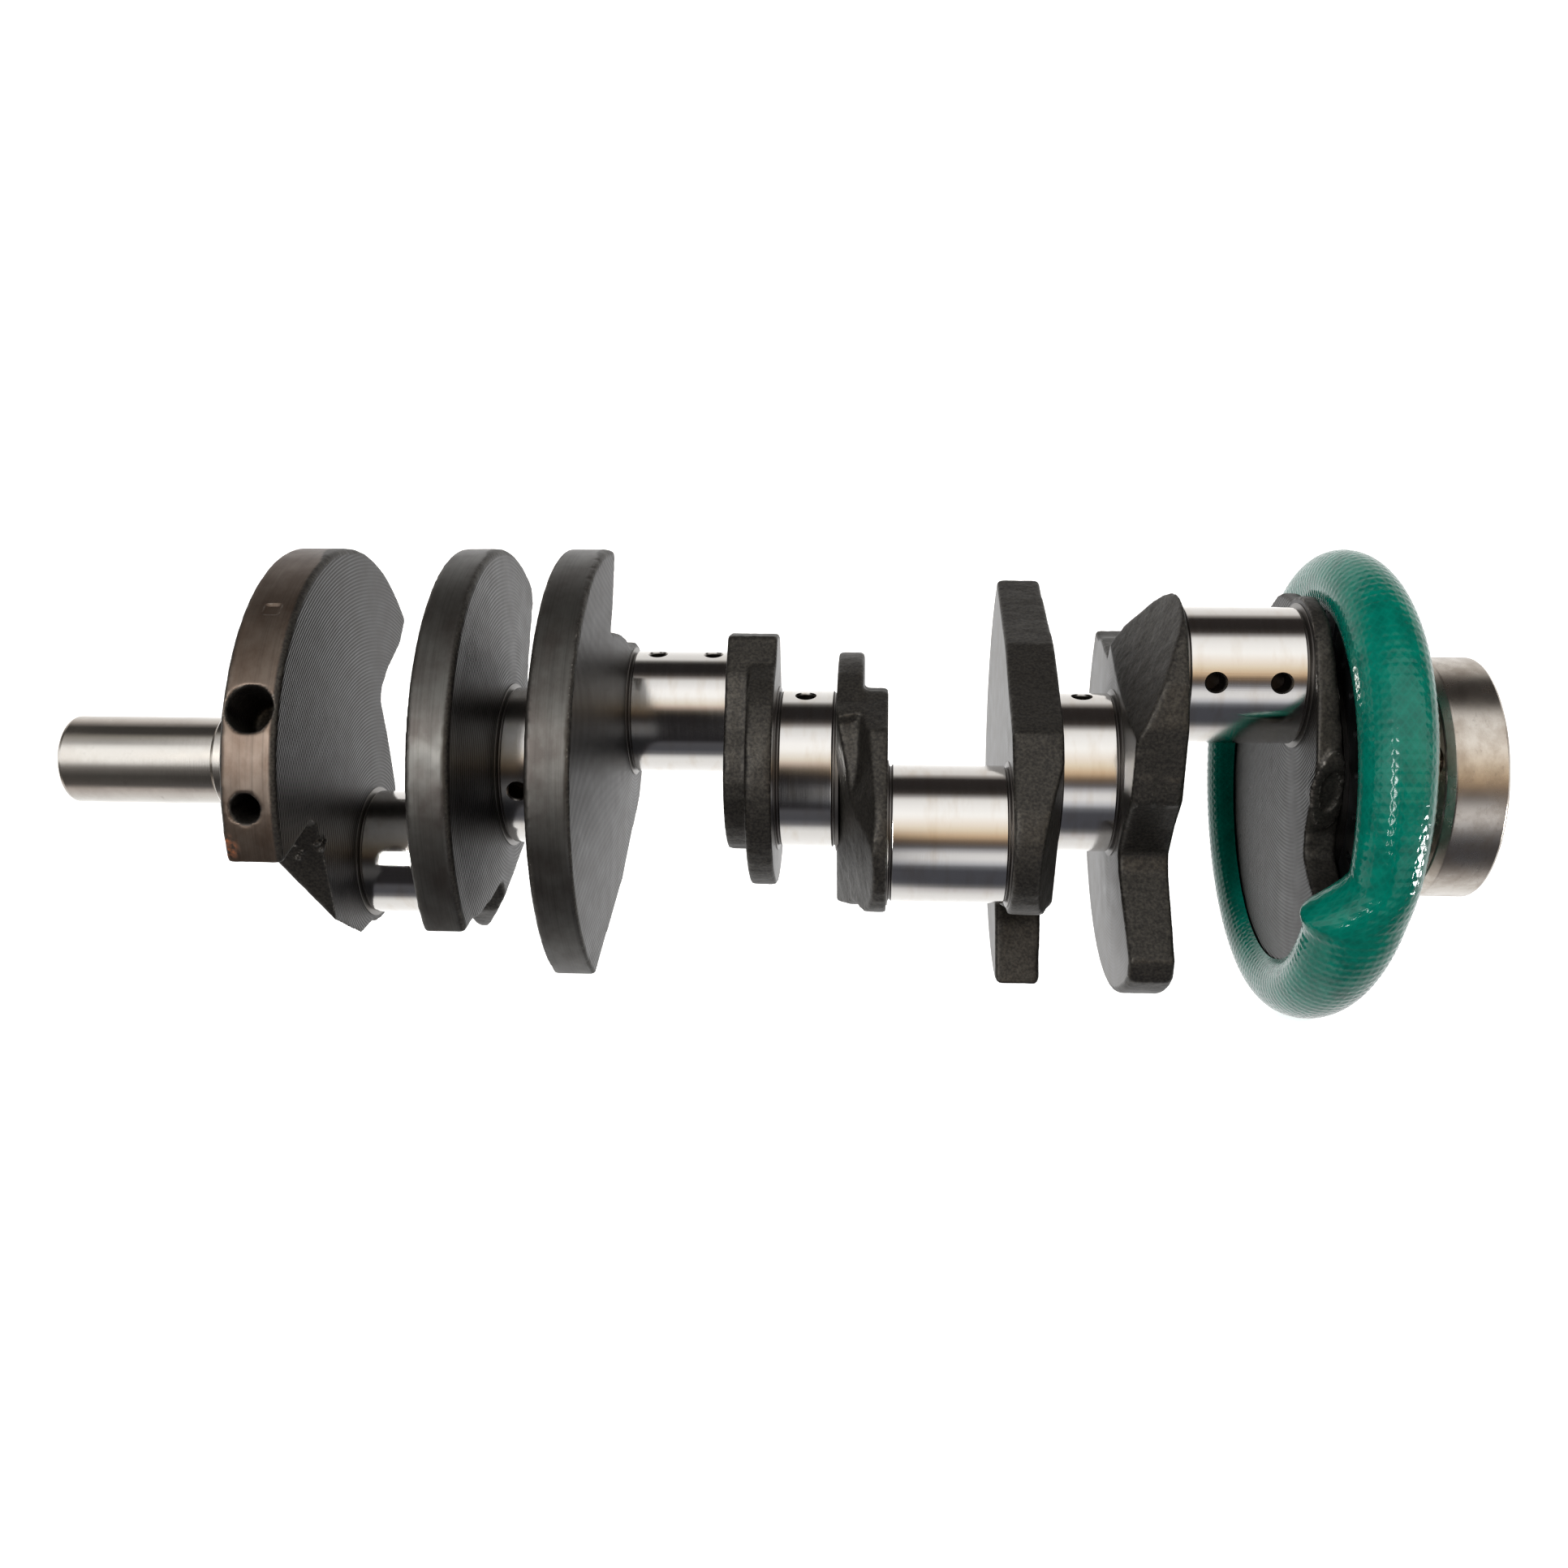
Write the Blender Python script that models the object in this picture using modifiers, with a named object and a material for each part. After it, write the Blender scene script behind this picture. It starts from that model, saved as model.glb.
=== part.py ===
"""Cast crankshaft of a ninety-degree V8 engine, with its tone ring and a split guard hose.

Units are metres and +Z is up. The main axis is the X axis, from the snout at -X to the flywheel
flange at +X, and the origin is the centre of the third main journal. A clock angle is measured
round the main axis from -Y, turning up towards +Z.

The shaft is one casting. It is built here as separate solids that meet at the turned grooves
beside each journal, with a thin gap between neighbours.
"""
import math

import bmesh
import bpy
from mathutils import Matrix, Vector

MM = 0.001
GAP = 0.3 * MM
FINE_STEPS = 48
BLANK_STEPS = 64
DRILL_STEPS = 12
MERGE = 0.00005
OBJECT_NAME = "crankshaft"

# Driving dimensions of the shaft
BORE_SPACING = 111.76 * MM
THROW = 46.0 * MM
MAIN_RADIUS = 32.5 * MM
PIN_RADIUS = 26.67 * MM
MAIN_HALF_WIDTH = 12.35 * MM
PIN_HALF_WIDTH = 23.35 * MM
GROOVE_WIDTH = 1.1 * MM
GROOVE_DEPTH = 0.7 * MM
CLOCK = 57.7
PIN_CLOCK = (CLOCK + 180, CLOCK + 90, CLOCK - 90, CLOCK)

# Counterweights and pin lobes
RIM_RADIUS = 89.8 * MM
LAST_RIM_RADIUS = 86.5 * MM
NOSE_RADIUS = 31.0 * MM
HUB_RADIUS = 48.5 * MM
HUB_THICKNESS = 10.5 * MM
FACE_HUB_RADIUS = 38.0 * MM
FACE_RIM_RADIUS = 80.0 * MM
CHEEK_BOSS_RADIUS = 30.0 * MM
CHEEK_RIM_RADIUS = 132.0 * MM
CHEEK_OUTER_RADIUS = 150.0 * MM
RIM_CHAMFER = 1.2 * MM
SIDE_PULL = 2 * MM
WEDGE_SIZE = (120 * MM, 200 * MM, 60 * MM)
TRIM_SIZE = 0.3

# Faces of the counterweight rims in millimetres, numbered from the snout
RIM_FACES = ((-212.4, -191.0), (-142.8, -126.8), (-99.4, -82.4), (-32.5, -12.4),
             (12.4, 32.5), (79.3, 97.6), (126.0, 143.4), (191.0, 202.9))

# Planes that thin a pin lobe: rise per step towards the pin, rise per step across, and the
# along and across position in millimetres where the plane meets the web's face
END_WEDGES = ((0.20, 0.0, 25.0, 0.0), (0.635, 0.70, 11.0, 55.0))
SECOND_WEDGES = ((0.50, 0.0, 39.0, 0.0),)
THIRD_WEDGES = ((0.32, 0.0, 45.0, 0.0),)
CENTRE_WEDGES = ((0.305, 0.0, 26.7, 0.0), (0.32, 0.34, 27.5, 14.0))
LAST_WEDGES = ((0.09, 0.0, 12.0, 0.0),)

# Ends of the shaft
SNOUT_RADIUS = 18.45 * MM
SNOUT_START = -314.7 * MM
SNOUT_END = -247.0 * MM
FRONT_SEAT_RADIUS = 21.0 * MM
SNOUT_BOLT_RADIUS = 7.2 * MM
SNOUT_BOLT_DEPTH = 42.0 * MM
FLANGE_RADIUS = 48.4 * MM
FLANGE_START = 241.7 * MM
FLANGE_END = 265.0 * MM
FLANGE_NECK_RADIUS = 36.0 * MM
BOLT_CIRCLE_RADIUS = 39.5 * MM
BOLT_HOLE_RADIUS = 4.9 * MM
BOLT_COUNT = 6
BOLT_CLOCK = 9.0
PILOT_RADIUS = 21.65 * MM
PILOT_DEPTH = 10.0 * MM
GALLERY_RADIUS = 13.5 * MM
GALLERY_DEPTH = 24.0 * MM
PLUG_LENGTH = 9.0 * MM
PLUG_WALL = 1.5 * MM

# Tone ring, pressed on the shoulder behind the last counterweight
RING_RADIUS = 77.0 * MM
RING_THICKNESS = 4.0 * MM
RING_START = 204.5 * MM
SEAT_RADIUS = 52.0 * MM
SLOT_COUNT = 24
FIRST_SLOT_CLOCK = 60.0
SLOT_WIDTH = 3.6 * MM
SLOT_LENGTH = 12.0 * MM
SLOT_CENTRE_RADIUS = 64.0 * MM

# Guard hose: a split hose pushed over the ring's rim and the last counterweight's rim
HOSE_PATH_RADIUS = 81.2 * MM
HOSE_DROP = 3.7 * MM
HOSE_HALF_DEPTH = 13.4 * MM
HOSE_WALL = 2.8 * MM
HOSE_STEPS = 60
HOSE_SECTION_STEPS = 9
LIP_LIMIT = 0.98
WRAP_FIRST = CLOCK - 81.0
WRAP_SPAN = 198.0
WRAP_EASE = 8.0
HOSE_LIP_GAP = 0.7 * MM

# Drillings
MAIN_OIL_HOLES = {2: (-3.8, -19.3), 3: (-0.9, 66.0), 4: (-1.0, 70.5)}
PIN_OIL_CLOCK = (CLOCK + 112.3, CLOCK + 10.6, CLOCK - 169.4, CLOCK - 67.7)
BALANCE_DRILLS = ((-201.6, 12.4, 8.75), (-202.7, -11.4, 5.5))
OIL_HOLE_RADIUS = 3.6 * MM
OIL_HOLE_DEPTH = 12.0 * MM
PIN_HOLE_OFFSET = 12.2 * MM
BALANCE_DEPTH = 26.0 * MM


def clock_direction(angle):
    """Unit vector at a clock angle in degrees, across the main axis."""
    turn = math.radians(angle)
    return Vector((0, -math.cos(turn), math.sin(turn)))


def main_centre(number):
    """X of a main journal's centre, numbered from the snout."""
    return (number - 3) * BORE_SPACING


def pin_centre(number):
    """X of a crankpin's centre, numbered from the snout."""
    return (number - 2.5) * BORE_SPACING


def make_material(name, colour, roughness, metallic):
    material = bpy.data.materials.new(name)
    material.use_nodes = True
    shader = material.node_tree.nodes["Principled BSDF"]
    shader.inputs["Base Color"].default_value = (*colour, 1.0)
    shader.inputs["Roughness"].default_value = roughness
    shader.inputs["Metallic"].default_value = metallic
    return material


def clear_scene():
    for item in list(bpy.data.objects):
        bpy.data.objects.remove(item, do_unlink=True)


def make_collections():
    parts = bpy.data.collections.new(OBJECT_NAME)
    cutters = bpy.data.collections.new("cutters")
    bpy.context.scene.collection.children.link(parts)
    bpy.context.scene.collection.children.link(cutters)
    return parts, cutters


def add_object(name, mesh, collection, matrix=None):
    item = bpy.data.objects.new(name, mesh)
    if matrix is not None:
        item.matrix_world = matrix
    collection.objects.link(item)
    return item


def hide_cutter(item):
    item.hide_render = True
    item.display_type = "WIRE"
    return item


def axis_frame(x, centre=Vector((0, 0, 0))):
    """Placement whose local +Z runs along world +X, through the given point."""
    turn = Matrix(((0, 0, 1), (0, 1, 0), (-1, 0, 0))).to_4x4()
    return Matrix.Translation((x, centre.y, centre.z)) @ turn


def pin_frame(x, clock):
    """Placement with local +X towards a crankpin and local +Z along world +X."""
    towards = clock_direction(clock)
    along = Vector((1, 0, 0))
    side = along.cross(towards)
    turn = Matrix((towards, side, along)).transposed().to_4x4()
    return Matrix.Translation((x, 0, 0)) @ turn


def turned(name, profile, placement, collection, steps):
    """Revolve a profile of (radius, height) points, listed top to bottom, about local Z."""
    mesh = bpy.data.meshes.new(name)
    points = [(radius, 0, height) for radius, height in profile]
    edges = [(index, index + 1) for index in range(len(points) - 1)]
    mesh.from_pydata(points, edges, [])
    item = add_object(name, mesh, collection, placement)
    screw = item.modifiers.new("turn", "SCREW")
    screw.axis = "Z"
    screw.steps = steps
    screw.render_steps = steps
    screw.use_merge_vertices = True
    screw.merge_threshold = MERGE
    return item


def baked(item):
    """Swap an object's data for its evaluated mesh and drop its modifiers."""
    graph = bpy.context.evaluated_depsgraph_get()
    mesh = bpy.data.meshes.new_from_object(item.evaluated_get(graph))
    work = bmesh.new()
    work.from_mesh(mesh)
    bmesh.ops.remove_doubles(work, verts=work.verts, dist=MERGE)
    work.to_mesh(mesh)
    work.free()
    name = item.name
    matrix = item.matrix_world.copy()
    collection = item.users_collection[0]
    bpy.data.objects.remove(item, do_unlink=True)
    return add_object(name, mesh, collection, matrix)


def plate(name, outline, start, end, placement, collection):
    """Extrude a flat outline, in the placement's XY plane, from start to end along local Z."""
    curve = bpy.data.curves.new(name, "CURVE")
    curve.dimensions = "2D"
    curve.fill_mode = "BOTH"
    curve.extrude = (end - start) / 2
    spline = curve.splines.new("POLY")
    spline.points.add(len(outline) - 1)
    for point, (along, across) in zip(spline.points, outline):
        point.co = (along, across, 0, 1)
    spline.use_cyclic_u = True
    middle = placement @ Matrix.Translation((0, 0, (start + end) / 2))
    item = add_object(name, curve, collection, middle)
    bpy.context.view_layer.update()
    return baked(item)


def box(name, size, placement, collection):
    mesh = bpy.data.meshes.new(name)
    work = bmesh.new()
    bmesh.ops.create_cube(work, size=1.0, matrix=Matrix.Diagonal((*size, 1.0)))
    work.to_mesh(mesh)
    work.free()
    return add_object(name, mesh, collection, placement)


def rod(name, radius, start, end, collection, segments=DRILL_STEPS * 2):
    """A cylinder from one point to another."""
    run = end - start
    mesh = bpy.data.meshes.new(name)
    work = bmesh.new()
    bmesh.ops.create_cone(work, cap_ends=True, segments=segments, radius1=radius, radius2=radius,
                          depth=run.length)
    work.to_mesh(mesh)
    work.free()
    turn = run.to_track_quat("Z", "Y").to_matrix().to_4x4()
    return add_object(name, mesh, collection, Matrix.Translation((start + end) / 2) @ turn)


def combine(item, other, operation):
    change = item.modifiers.new(operation.lower(), "BOOLEAN")
    change.operation = operation
    change.solver = "EXACT"
    change.object = hide_cutter(other)
    return item


def arc(centre, radius, start, end, count):
    """Points of an arc about (centre, 0), from a start angle to an end angle in degrees."""
    points = []
    for index in range(count + 1):
        turn = math.radians(start + (end - start) * index / count)
        points.append((centre + radius * math.cos(turn), radius * math.sin(turn)))
    return points


def millimetres(*pairs):
    return [(along * MM, across * MM) for along, across in pairs]


def end_web_outline(rim):
    """First and last webs. Along points to the pin, across is a quarter turn further on."""
    counterweight = arc(0, rim, 97, 254, 30)
    far_side = millimetres((-18, -74), (-16, -53), (-12.6, -42), (-9, -38), (9, -38), (33, -36),
                           (56, -29))
    nose = arc(THROW, NOSE_RADIUS, -58, 42, 10)
    near_side = millimetres((64, 37), (61, 41), (44, 57), (35, 56), (10, 54.6), (-5, 54.6), (-9, 57))
    return counterweight + far_side + nose + near_side


def last_web_outline(rim):
    """Last web, whose lobe is wider on the side of its longer counterweight end."""
    counterweight = arc(0, rim, 97, 262, 30)
    far_side = millimetres((-9, -78), (-6, -61), (-3, -52.5), (5, -49), (34, -47), (56, -33))
    nose = arc(THROW, NOSE_RADIUS, -56, 42, 10)
    near_side = millimetres((64, 37), (61, 41), (44, 57), (35, 56), (10, 54.6), (-5, 54.6), (-9, 57))
    return counterweight + far_side + nose + near_side


def second_web_outline(rim):
    """Webs between the first or last pin and the next main journal."""
    counterweight = arc(0, rim, 77, 237, 30)
    far_side = millimetres((-38, -75), (-29, -58), (-20, -42), (-14, -38), (0, -41), (17, -48), (46, -42),
                           (60, -33))
    nose = arc(THROW, NOSE_RADIUS + 1 * MM, -46, 60, 10)
    near_side = millimetres((50, 36), (33, 39), (31, 52), (28, 66), (23, 77))
    return counterweight + far_side + nose + near_side


def third_web_outline(rim):
    """Webs between an inner pin and the main journal on its outer side."""
    counterweight = arc(0, rim, 145, 297, 30)
    far_side = millimetres((22, -62), (13, -55.5), (23, -51), (40, -40), (49.5, -31))
    nose = arc(THROW, NOSE_RADIUS, -55, 50, 10)
    near_side = millimetres((39, 41.8), (13, 46), (-14, 51.8), (-36, 51.8))
    return counterweight + far_side + nose + near_side


def centre_web_outline(_rim):
    """Pin-side plate of the two webs beside the centre main journal."""
    back = arc(0, 34 * MM, 100, 235, 12)
    far_side = millimetres((-4, -46), (12, -55.5), (23, -51), (40, -40), (49.5, -31))
    nose = arc(THROW, NOSE_RADIUS, -55, 50, 10)
    near_side = millimetres((39, 42), (13, 45))
    return back + far_side + nose + near_side


def face_blank(name, web, rim, collection):
    """Blank turned about the main axis: the face beside the main journal slopes out to the rim."""
    rim_start, rim_end = web["rim"]
    hub_start, hub_end = web["hub"]
    low = rim_start if web["main_side"] < 0 else min(rim_start, hub_start)
    high = rim_end if web["main_side"] > 0 else max(rim_end, hub_end)
    face_low = hub_start if web["main_side"] < 0 else low
    face_high = hub_end if web["main_side"] > 0 else high
    profile = [(0, face_high), (FACE_HUB_RADIUS, face_high), (FACE_RIM_RADIUS, high),
               (rim - RIM_CHAMFER, high), (rim, rim_end - RIM_CHAMFER),
               (rim, rim_start + RIM_CHAMFER), (rim - RIM_CHAMFER, low),
               (FACE_RIM_RADIUS, low), (FACE_HUB_RADIUS, face_low), (0, face_low)]
    return turned(name, profile, axis_frame(0), collection, BLANK_STEPS)


def cheek_blank(name, web, collection):
    """Blank turned about the pin: a flat boss, then a cheek that slopes away to the rim."""
    centre = clock_direction(web["clock"]) * THROW
    hub_start, hub_end = web["hub"]
    rim_start, rim_end = web["rim"]
    back = 10 * MM
    if web["main_side"] < 0:
        profile = [(0, hub_end), (CHEEK_BOSS_RADIUS, hub_end), (CHEEK_RIM_RADIUS, rim_end),
                   (CHEEK_OUTER_RADIUS, rim_end), (CHEEK_OUTER_RADIUS, hub_start - back),
                   (0, hub_start - back)]
    else:
        profile = [(0, hub_end + back), (CHEEK_OUTER_RADIUS, hub_end + back),
                   (CHEEK_OUTER_RADIUS, rim_start), (CHEEK_RIM_RADIUS, rim_start),
                   (CHEEK_BOSS_RADIUS, hub_start), (0, hub_start)]
    return turned(name, profile, axis_frame(0, centre), collection, BLANK_STEPS)


def wedge(name, web, rise, cutters):
    """Block that thins a pin lobe from the side of the web away from the pin."""
    along_rise, across_rise, along, across = rise
    side = web["main_side"]
    hub_face = web["hub"][1] if side > 0 else web["hub"][0]
    normal = Vector((along_rise, -across_rise, side)).normalized()
    forward = Vector((1, 0, 0))
    forward = (forward - normal * forward.dot(normal)).normalized()
    turn = Matrix((forward, normal.cross(forward), normal)).transposed().to_4x4()
    corner = Matrix.Translation((along * MM, -across * MM, 0))
    length, _, depth = WEDGE_SIZE
    shift = Matrix.Translation((length / 2, 0, depth / 2))
    return box(name, WEDGE_SIZE, pin_frame(hub_face, web["clock"]) @ corner @ turn @ shift, cutters)


def web_table():
    """Faces, clock angle, outline and lobe wedges of the eight webs, numbered from the snout."""
    outlines = (end_web_outline, second_web_outline, third_web_outline, centre_web_outline)
    wedges = (END_WEDGES, SECOND_WEDGES, THIRD_WEDGES, CENTRE_WEDGES)
    webs = {}
    for number in range(1, 9):
        pin = (number + 1) // 2
        pin_first = number % 2 == 0
        pin_edge = PIN_HALF_WIDTH if pin_first else -PIN_HALF_WIDTH
        main = number // 2 + 1
        main_edge = -MAIN_HALF_WIDTH if pin_first else MAIN_HALF_WIDTH
        kind = min(number, 9 - number) - 1
        webs[number] = {
            "hub": sorted((pin_centre(pin) + pin_edge, main_centre(main) + main_edge)),
            "rim": [value * MM for value in RIM_FACES[number - 1]],
            "clock": PIN_CLOCK[pin - 1],
            "outline": outlines[kind],
            "wedges": wedges[kind],
            "main_side": 1 if pin_first else -1,
        }
    webs[8]["hub"][1] = webs[8]["rim"][1]
    webs[8]["outline"] = last_web_outline
    webs[8]["wedges"] = LAST_WEDGES
    return webs


def make_web(number, web, parts, cutters, material):
    name = f"web_{number}"
    rim = LAST_RIM_RADIUS if number == 8 else RIM_RADIUS
    low = min(web["hub"][0], web["rim"][0]) - MM
    high = max(web["hub"][1], web["rim"][1]) + MM
    outline = [(along, -across) for along, across in web["outline"](rim + SIDE_PULL)]
    item = plate(name, outline, low, high, pin_frame(0, web["clock"]), parts)
    item.data.materials.append(material)
    if number in (4, 5):
        centre_faces(item, number, web, cutters)
    else:
        combine(item, face_blank(f"{name}_blank", web, rim, cutters), "INTERSECT")
        combine(item, cheek_blank(f"{name}_cheek", web, cutters), "INTERSECT")
    for index, rise in enumerate(web["wedges"]):
        block = wedge(f"{name}_wedge_{index}", web, rise, cutters)
        if number in (4, 5) and index > 0:
            start, end = web["hub"]
            keep = rod(f"{name}_keep", HUB_RADIUS, Vector((start - MM, 0, 0)), Vector((end + MM, 0, 0)),
                       cutters, FINE_STEPS)
            combine(block, keep, "DIFFERENCE")
        combine(item, block, "DIFFERENCE")
    return item


def centre_faces(item, number, web, cutters):
    """Trim a centre web to its two faces, then add the thin hub plate beside the main journal."""
    start, end = web["hub"]
    middle = Vector(((start + end) / 2, 0, 0))
    size = (end - start, TRIM_SIZE, TRIM_SIZE)
    trim = box(f"web_{number}_trim", size, Matrix.Translation(middle), cutters)
    combine(item, trim, "INTERSECT")
    hub_start = end - HUB_THICKNESS if number == 4 else start
    low = Vector((hub_start, 0, 0))
    high = Vector((hub_start + HUB_THICKNESS, 0, 0))
    combine(item, rod(f"web_{number}_hub", HUB_RADIUS, low, high, cutters, FINE_STEPS), "UNION")


def balance_holes(web, cutters):
    """Two drillings in the first counterweight's rim that bring the shaft into balance."""
    for index, (x, clock, radius) in enumerate(BALANCE_DRILLS):
        outward = clock_direction(clock)
        place = Vector((x * MM, 0, 0))
        start = place + outward * (RIM_RADIUS - BALANCE_DEPTH)
        end = place + outward * (RIM_RADIUS + 5 * MM)
        combine(web, rod(f"balance_drill_{index}", radius * MM, start, end, cutters), "DIFFERENCE")


def journal(name, centre, start, end, radius, parts, material):
    """A ground journal with a turned groove at each end."""
    length = end - start
    groove = radius - GROOVE_DEPTH
    profile = [(0, length), (groove, length), (groove, length - GROOVE_WIDTH),
               (radius, length - GROOVE_WIDTH), (radius, GROOVE_WIDTH), (groove, GROOVE_WIDTH),
               (groove, 0), (0, 0)]
    item = turned(name, profile, axis_frame(start, centre), parts, FINE_STEPS)
    item.data.materials.append(material)
    return item


def oil_hole(item, x, centre, radius, clock, cutters):
    outward = clock_direction(clock)
    surface = Vector((x, centre.y, centre.z)) + outward * radius
    drill = rod(f"{item.name}_drill", OIL_HOLE_RADIUS, surface - outward * OIL_HOLE_DEPTH,
                surface + outward * OIL_HOLE_RADIUS, cutters, DRILL_STEPS)
    combine(item, drill, "DIFFERENCE")


def make_mains(parts, cutters, material):
    """Main journals, each from the face before it to the face after it."""
    zero = Vector((0, 0, 0))
    for number in range(1, 6):
        middle = main_centre(number)
        half = MAIN_HALF_WIDTH - GAP
        item = journal(f"main_journal_{number}", zero, middle - half, middle + half, MAIN_RADIUS, parts,
                       material)
        if number in MAIN_OIL_HOLES:
            offset, clock = MAIN_OIL_HOLES[number]
            oil_hole(item, middle + offset * MM, zero, MAIN_RADIUS, clock, cutters)


def make_pins(parts, cutters, material):
    """Crankpins, each drilled twice for oil, once for each connecting rod."""
    for number in range(1, 5):
        centre = clock_direction(PIN_CLOCK[number - 1]) * THROW
        middle = pin_centre(number)
        half = PIN_HALF_WIDTH - GAP
        item = journal(f"crankpin_{number}", centre, middle - half, middle + half, PIN_RADIUS, parts,
                       material)
        for side in (-1, 1):
            oil_hole(item, middle + side * PIN_HOLE_OFFSET, centre, PIN_RADIUS, PIN_OIL_CLOCK[number - 1],
                     cutters)


def make_snout(parts, cutters, material):
    """Damper seat with its bolt hole, and the slightly larger seat behind it."""
    length = SNOUT_END - SNOUT_START
    tip = 2.6 * MM
    profile = [(0, length), (SNOUT_RADIUS - GROOVE_DEPTH, length), (SNOUT_RADIUS, length - GROOVE_DEPTH),
               (SNOUT_RADIUS, tip), (SNOUT_RADIUS - 0.8 * MM, 0.8 * MM), (SNOUT_RADIUS - tip, 0), (0, 0)]
    snout = turned("snout", profile, axis_frame(SNOUT_START), parts, FINE_STEPS)
    snout.data.materials.append(material)
    drill = rod("snout_drill", SNOUT_BOLT_RADIUS, Vector((SNOUT_START - 5 * MM, 0, 0)),
                Vector((SNOUT_START + SNOUT_BOLT_DEPTH, 0, 0)), cutters)
    combine(snout, drill, "DIFFERENCE")
    seat_start = SNOUT_END + GAP
    seat_length = main_centre(1) - MAIN_HALF_WIDTH - seat_start
    chamfer = 1.5 * MM
    seat_profile = [(0, seat_length), (FRONT_SEAT_RADIUS, seat_length), (FRONT_SEAT_RADIUS, chamfer),
                    (FRONT_SEAT_RADIUS - chamfer, 0), (0, 0)]
    seat = turned("front_seat", seat_profile, axis_frame(seat_start), parts, FINE_STEPS)
    seat.data.materials.append(material)


def make_flange(parts, cutters, material, plug_material):
    """Flywheel flange with six bolt holes, a pilot bore, and the plug of the oil gallery."""
    start = main_centre(5) + MAIN_HALF_WIDTH
    neck = FLANGE_START - start
    length = FLANGE_END - start
    edge = 1.0 * MM
    pilot_floor = length - PILOT_DEPTH
    gallery_floor = length - GALLERY_DEPTH
    profile = [(0, gallery_floor), (GALLERY_RADIUS, gallery_floor), (GALLERY_RADIUS, pilot_floor),
               (PILOT_RADIUS, pilot_floor), (PILOT_RADIUS, length - edge), (PILOT_RADIUS + edge, length),
               (FLANGE_RADIUS - edge, length), (FLANGE_RADIUS, length - edge),
               (FLANGE_RADIUS, neck + 3.8 * MM), (FLANGE_RADIUS - 1.8 * MM, neck),
               (FLANGE_NECK_RADIUS, neck), (FLANGE_NECK_RADIUS, 0), (0, 0)]
    flange = turned("rear_flange", profile, axis_frame(start), parts, FINE_STEPS)
    flange.data.materials.append(material)
    for index in range(BOLT_COUNT):
        outward = clock_direction(BOLT_CLOCK + index * 360 / BOLT_COUNT) * BOLT_CIRCLE_RADIUS
        low = Vector((FLANGE_START - 10 * MM, outward.y, outward.z))
        high = Vector((FLANGE_END + 10 * MM, outward.y, outward.z))
        drill = rod(f"bolt_drill_{index}", BOLT_HOLE_RADIUS, low, high, cutters, DRILL_STEPS)
        combine(flange, drill, "DIFFERENCE")
    radius = GALLERY_RADIUS - GAP
    cup = [(0, PLUG_WALL), (radius - PLUG_WALL, PLUG_WALL), (radius - PLUG_WALL, PLUG_LENGTH),
           (radius, PLUG_LENGTH), (radius, 0), (0, 0)]
    plug = turned("gallery_plug", cup, axis_frame(start + gallery_floor + GAP), parts, DRILL_STEPS * 2)
    plug.data.materials.append(plug_material)


def make_tone_ring(last_web, parts, cutters, ring_material, seat_material):
    """Slotted steel ring, and the turned shoulder of the shaft that it is pressed on."""
    seat_start = last_web["rim"][1] + GAP
    seat_end = main_centre(5) - MAIN_HALF_WIDTH
    seat = rod("ring_seat", SEAT_RADIUS, Vector((seat_start, 0, 0)), Vector((seat_end, 0, 0)), parts,
               FINE_STEPS)
    seat.data.materials.append(seat_material)
    inner = SEAT_RADIUS + GAP
    profile = [(inner, RING_THICKNESS), (RING_RADIUS, RING_THICKNESS), (RING_RADIUS, 0), (inner, 0),
               (inner, RING_THICKNESS)]
    ring = baked(turned("tone_ring", profile, axis_frame(RING_START), parts, FINE_STEPS))
    ring.data.materials.append(ring_material)
    for index in range(SLOT_COUNT):
        clock = FIRST_SLOT_CLOCK + index * 360 / SLOT_COUNT
        placement = pin_frame(RING_START + RING_THICKNESS / 2, clock)
        shift = Matrix.Translation((SLOT_CENTRE_RADIUS, 0, 0))
        size = (SLOT_LENGTH, SLOT_WIDTH, RING_THICKNESS * 3)
        slot = box(f"slot_{index}", size, placement @ shift, cutters)
        combine(ring, slot, "DIFFERENCE")


def smooth_step(value):
    """Ease from 0 to 1."""
    value = max(0.0, min(1.0, value))
    return value * value * (3 - 2 * value)


def hose_over_web(clock):
    """1 where the hose also wraps the last counterweight's rim, 0 where it wraps only the ring."""
    behind = (WRAP_FIRST - clock) % 360
    return smooth_step(behind / WRAP_EASE) * smooth_step((WRAP_SPAN - behind) / WRAP_EASE)


def hose_section(clock, last_web):
    """Centre X, half width and lip positions of the hose at a clock angle."""
    turn = math.radians(clock)
    over_web = hose_over_web(clock)
    rear_edge = (220.0 + 5.5 * math.cos(turn) + 4.5 * math.sin(turn)) * MM
    free_edge = (199.2 + 0.8 * math.sin(turn)) * MM
    wrap_edge = (183.3 + 2.6 * math.cos(turn + math.radians(40))) * MM
    front_edge = free_edge + (wrap_edge - free_edge) * over_web
    free_lip = RING_START - HOSE_LIP_GAP
    web_lip = last_web["rim"][0] - HOSE_LIP_GAP
    front_lip = free_lip + (web_lip - free_lip) * over_web
    rear_lip = RING_START + RING_THICKNESS + HOSE_LIP_GAP
    return (front_edge + rear_edge) / 2, (rear_edge - front_edge) / 2, front_lip, rear_lip


def lip_angle(lip, middle, width):
    """Angle on a wall of the hose, from its outermost point's quarter turn, where X reaches a lip."""
    share = (lip - middle) / width
    return math.asin(max(-LIP_LIMIT, min(LIP_LIMIT, share))) - math.pi / 2


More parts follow.
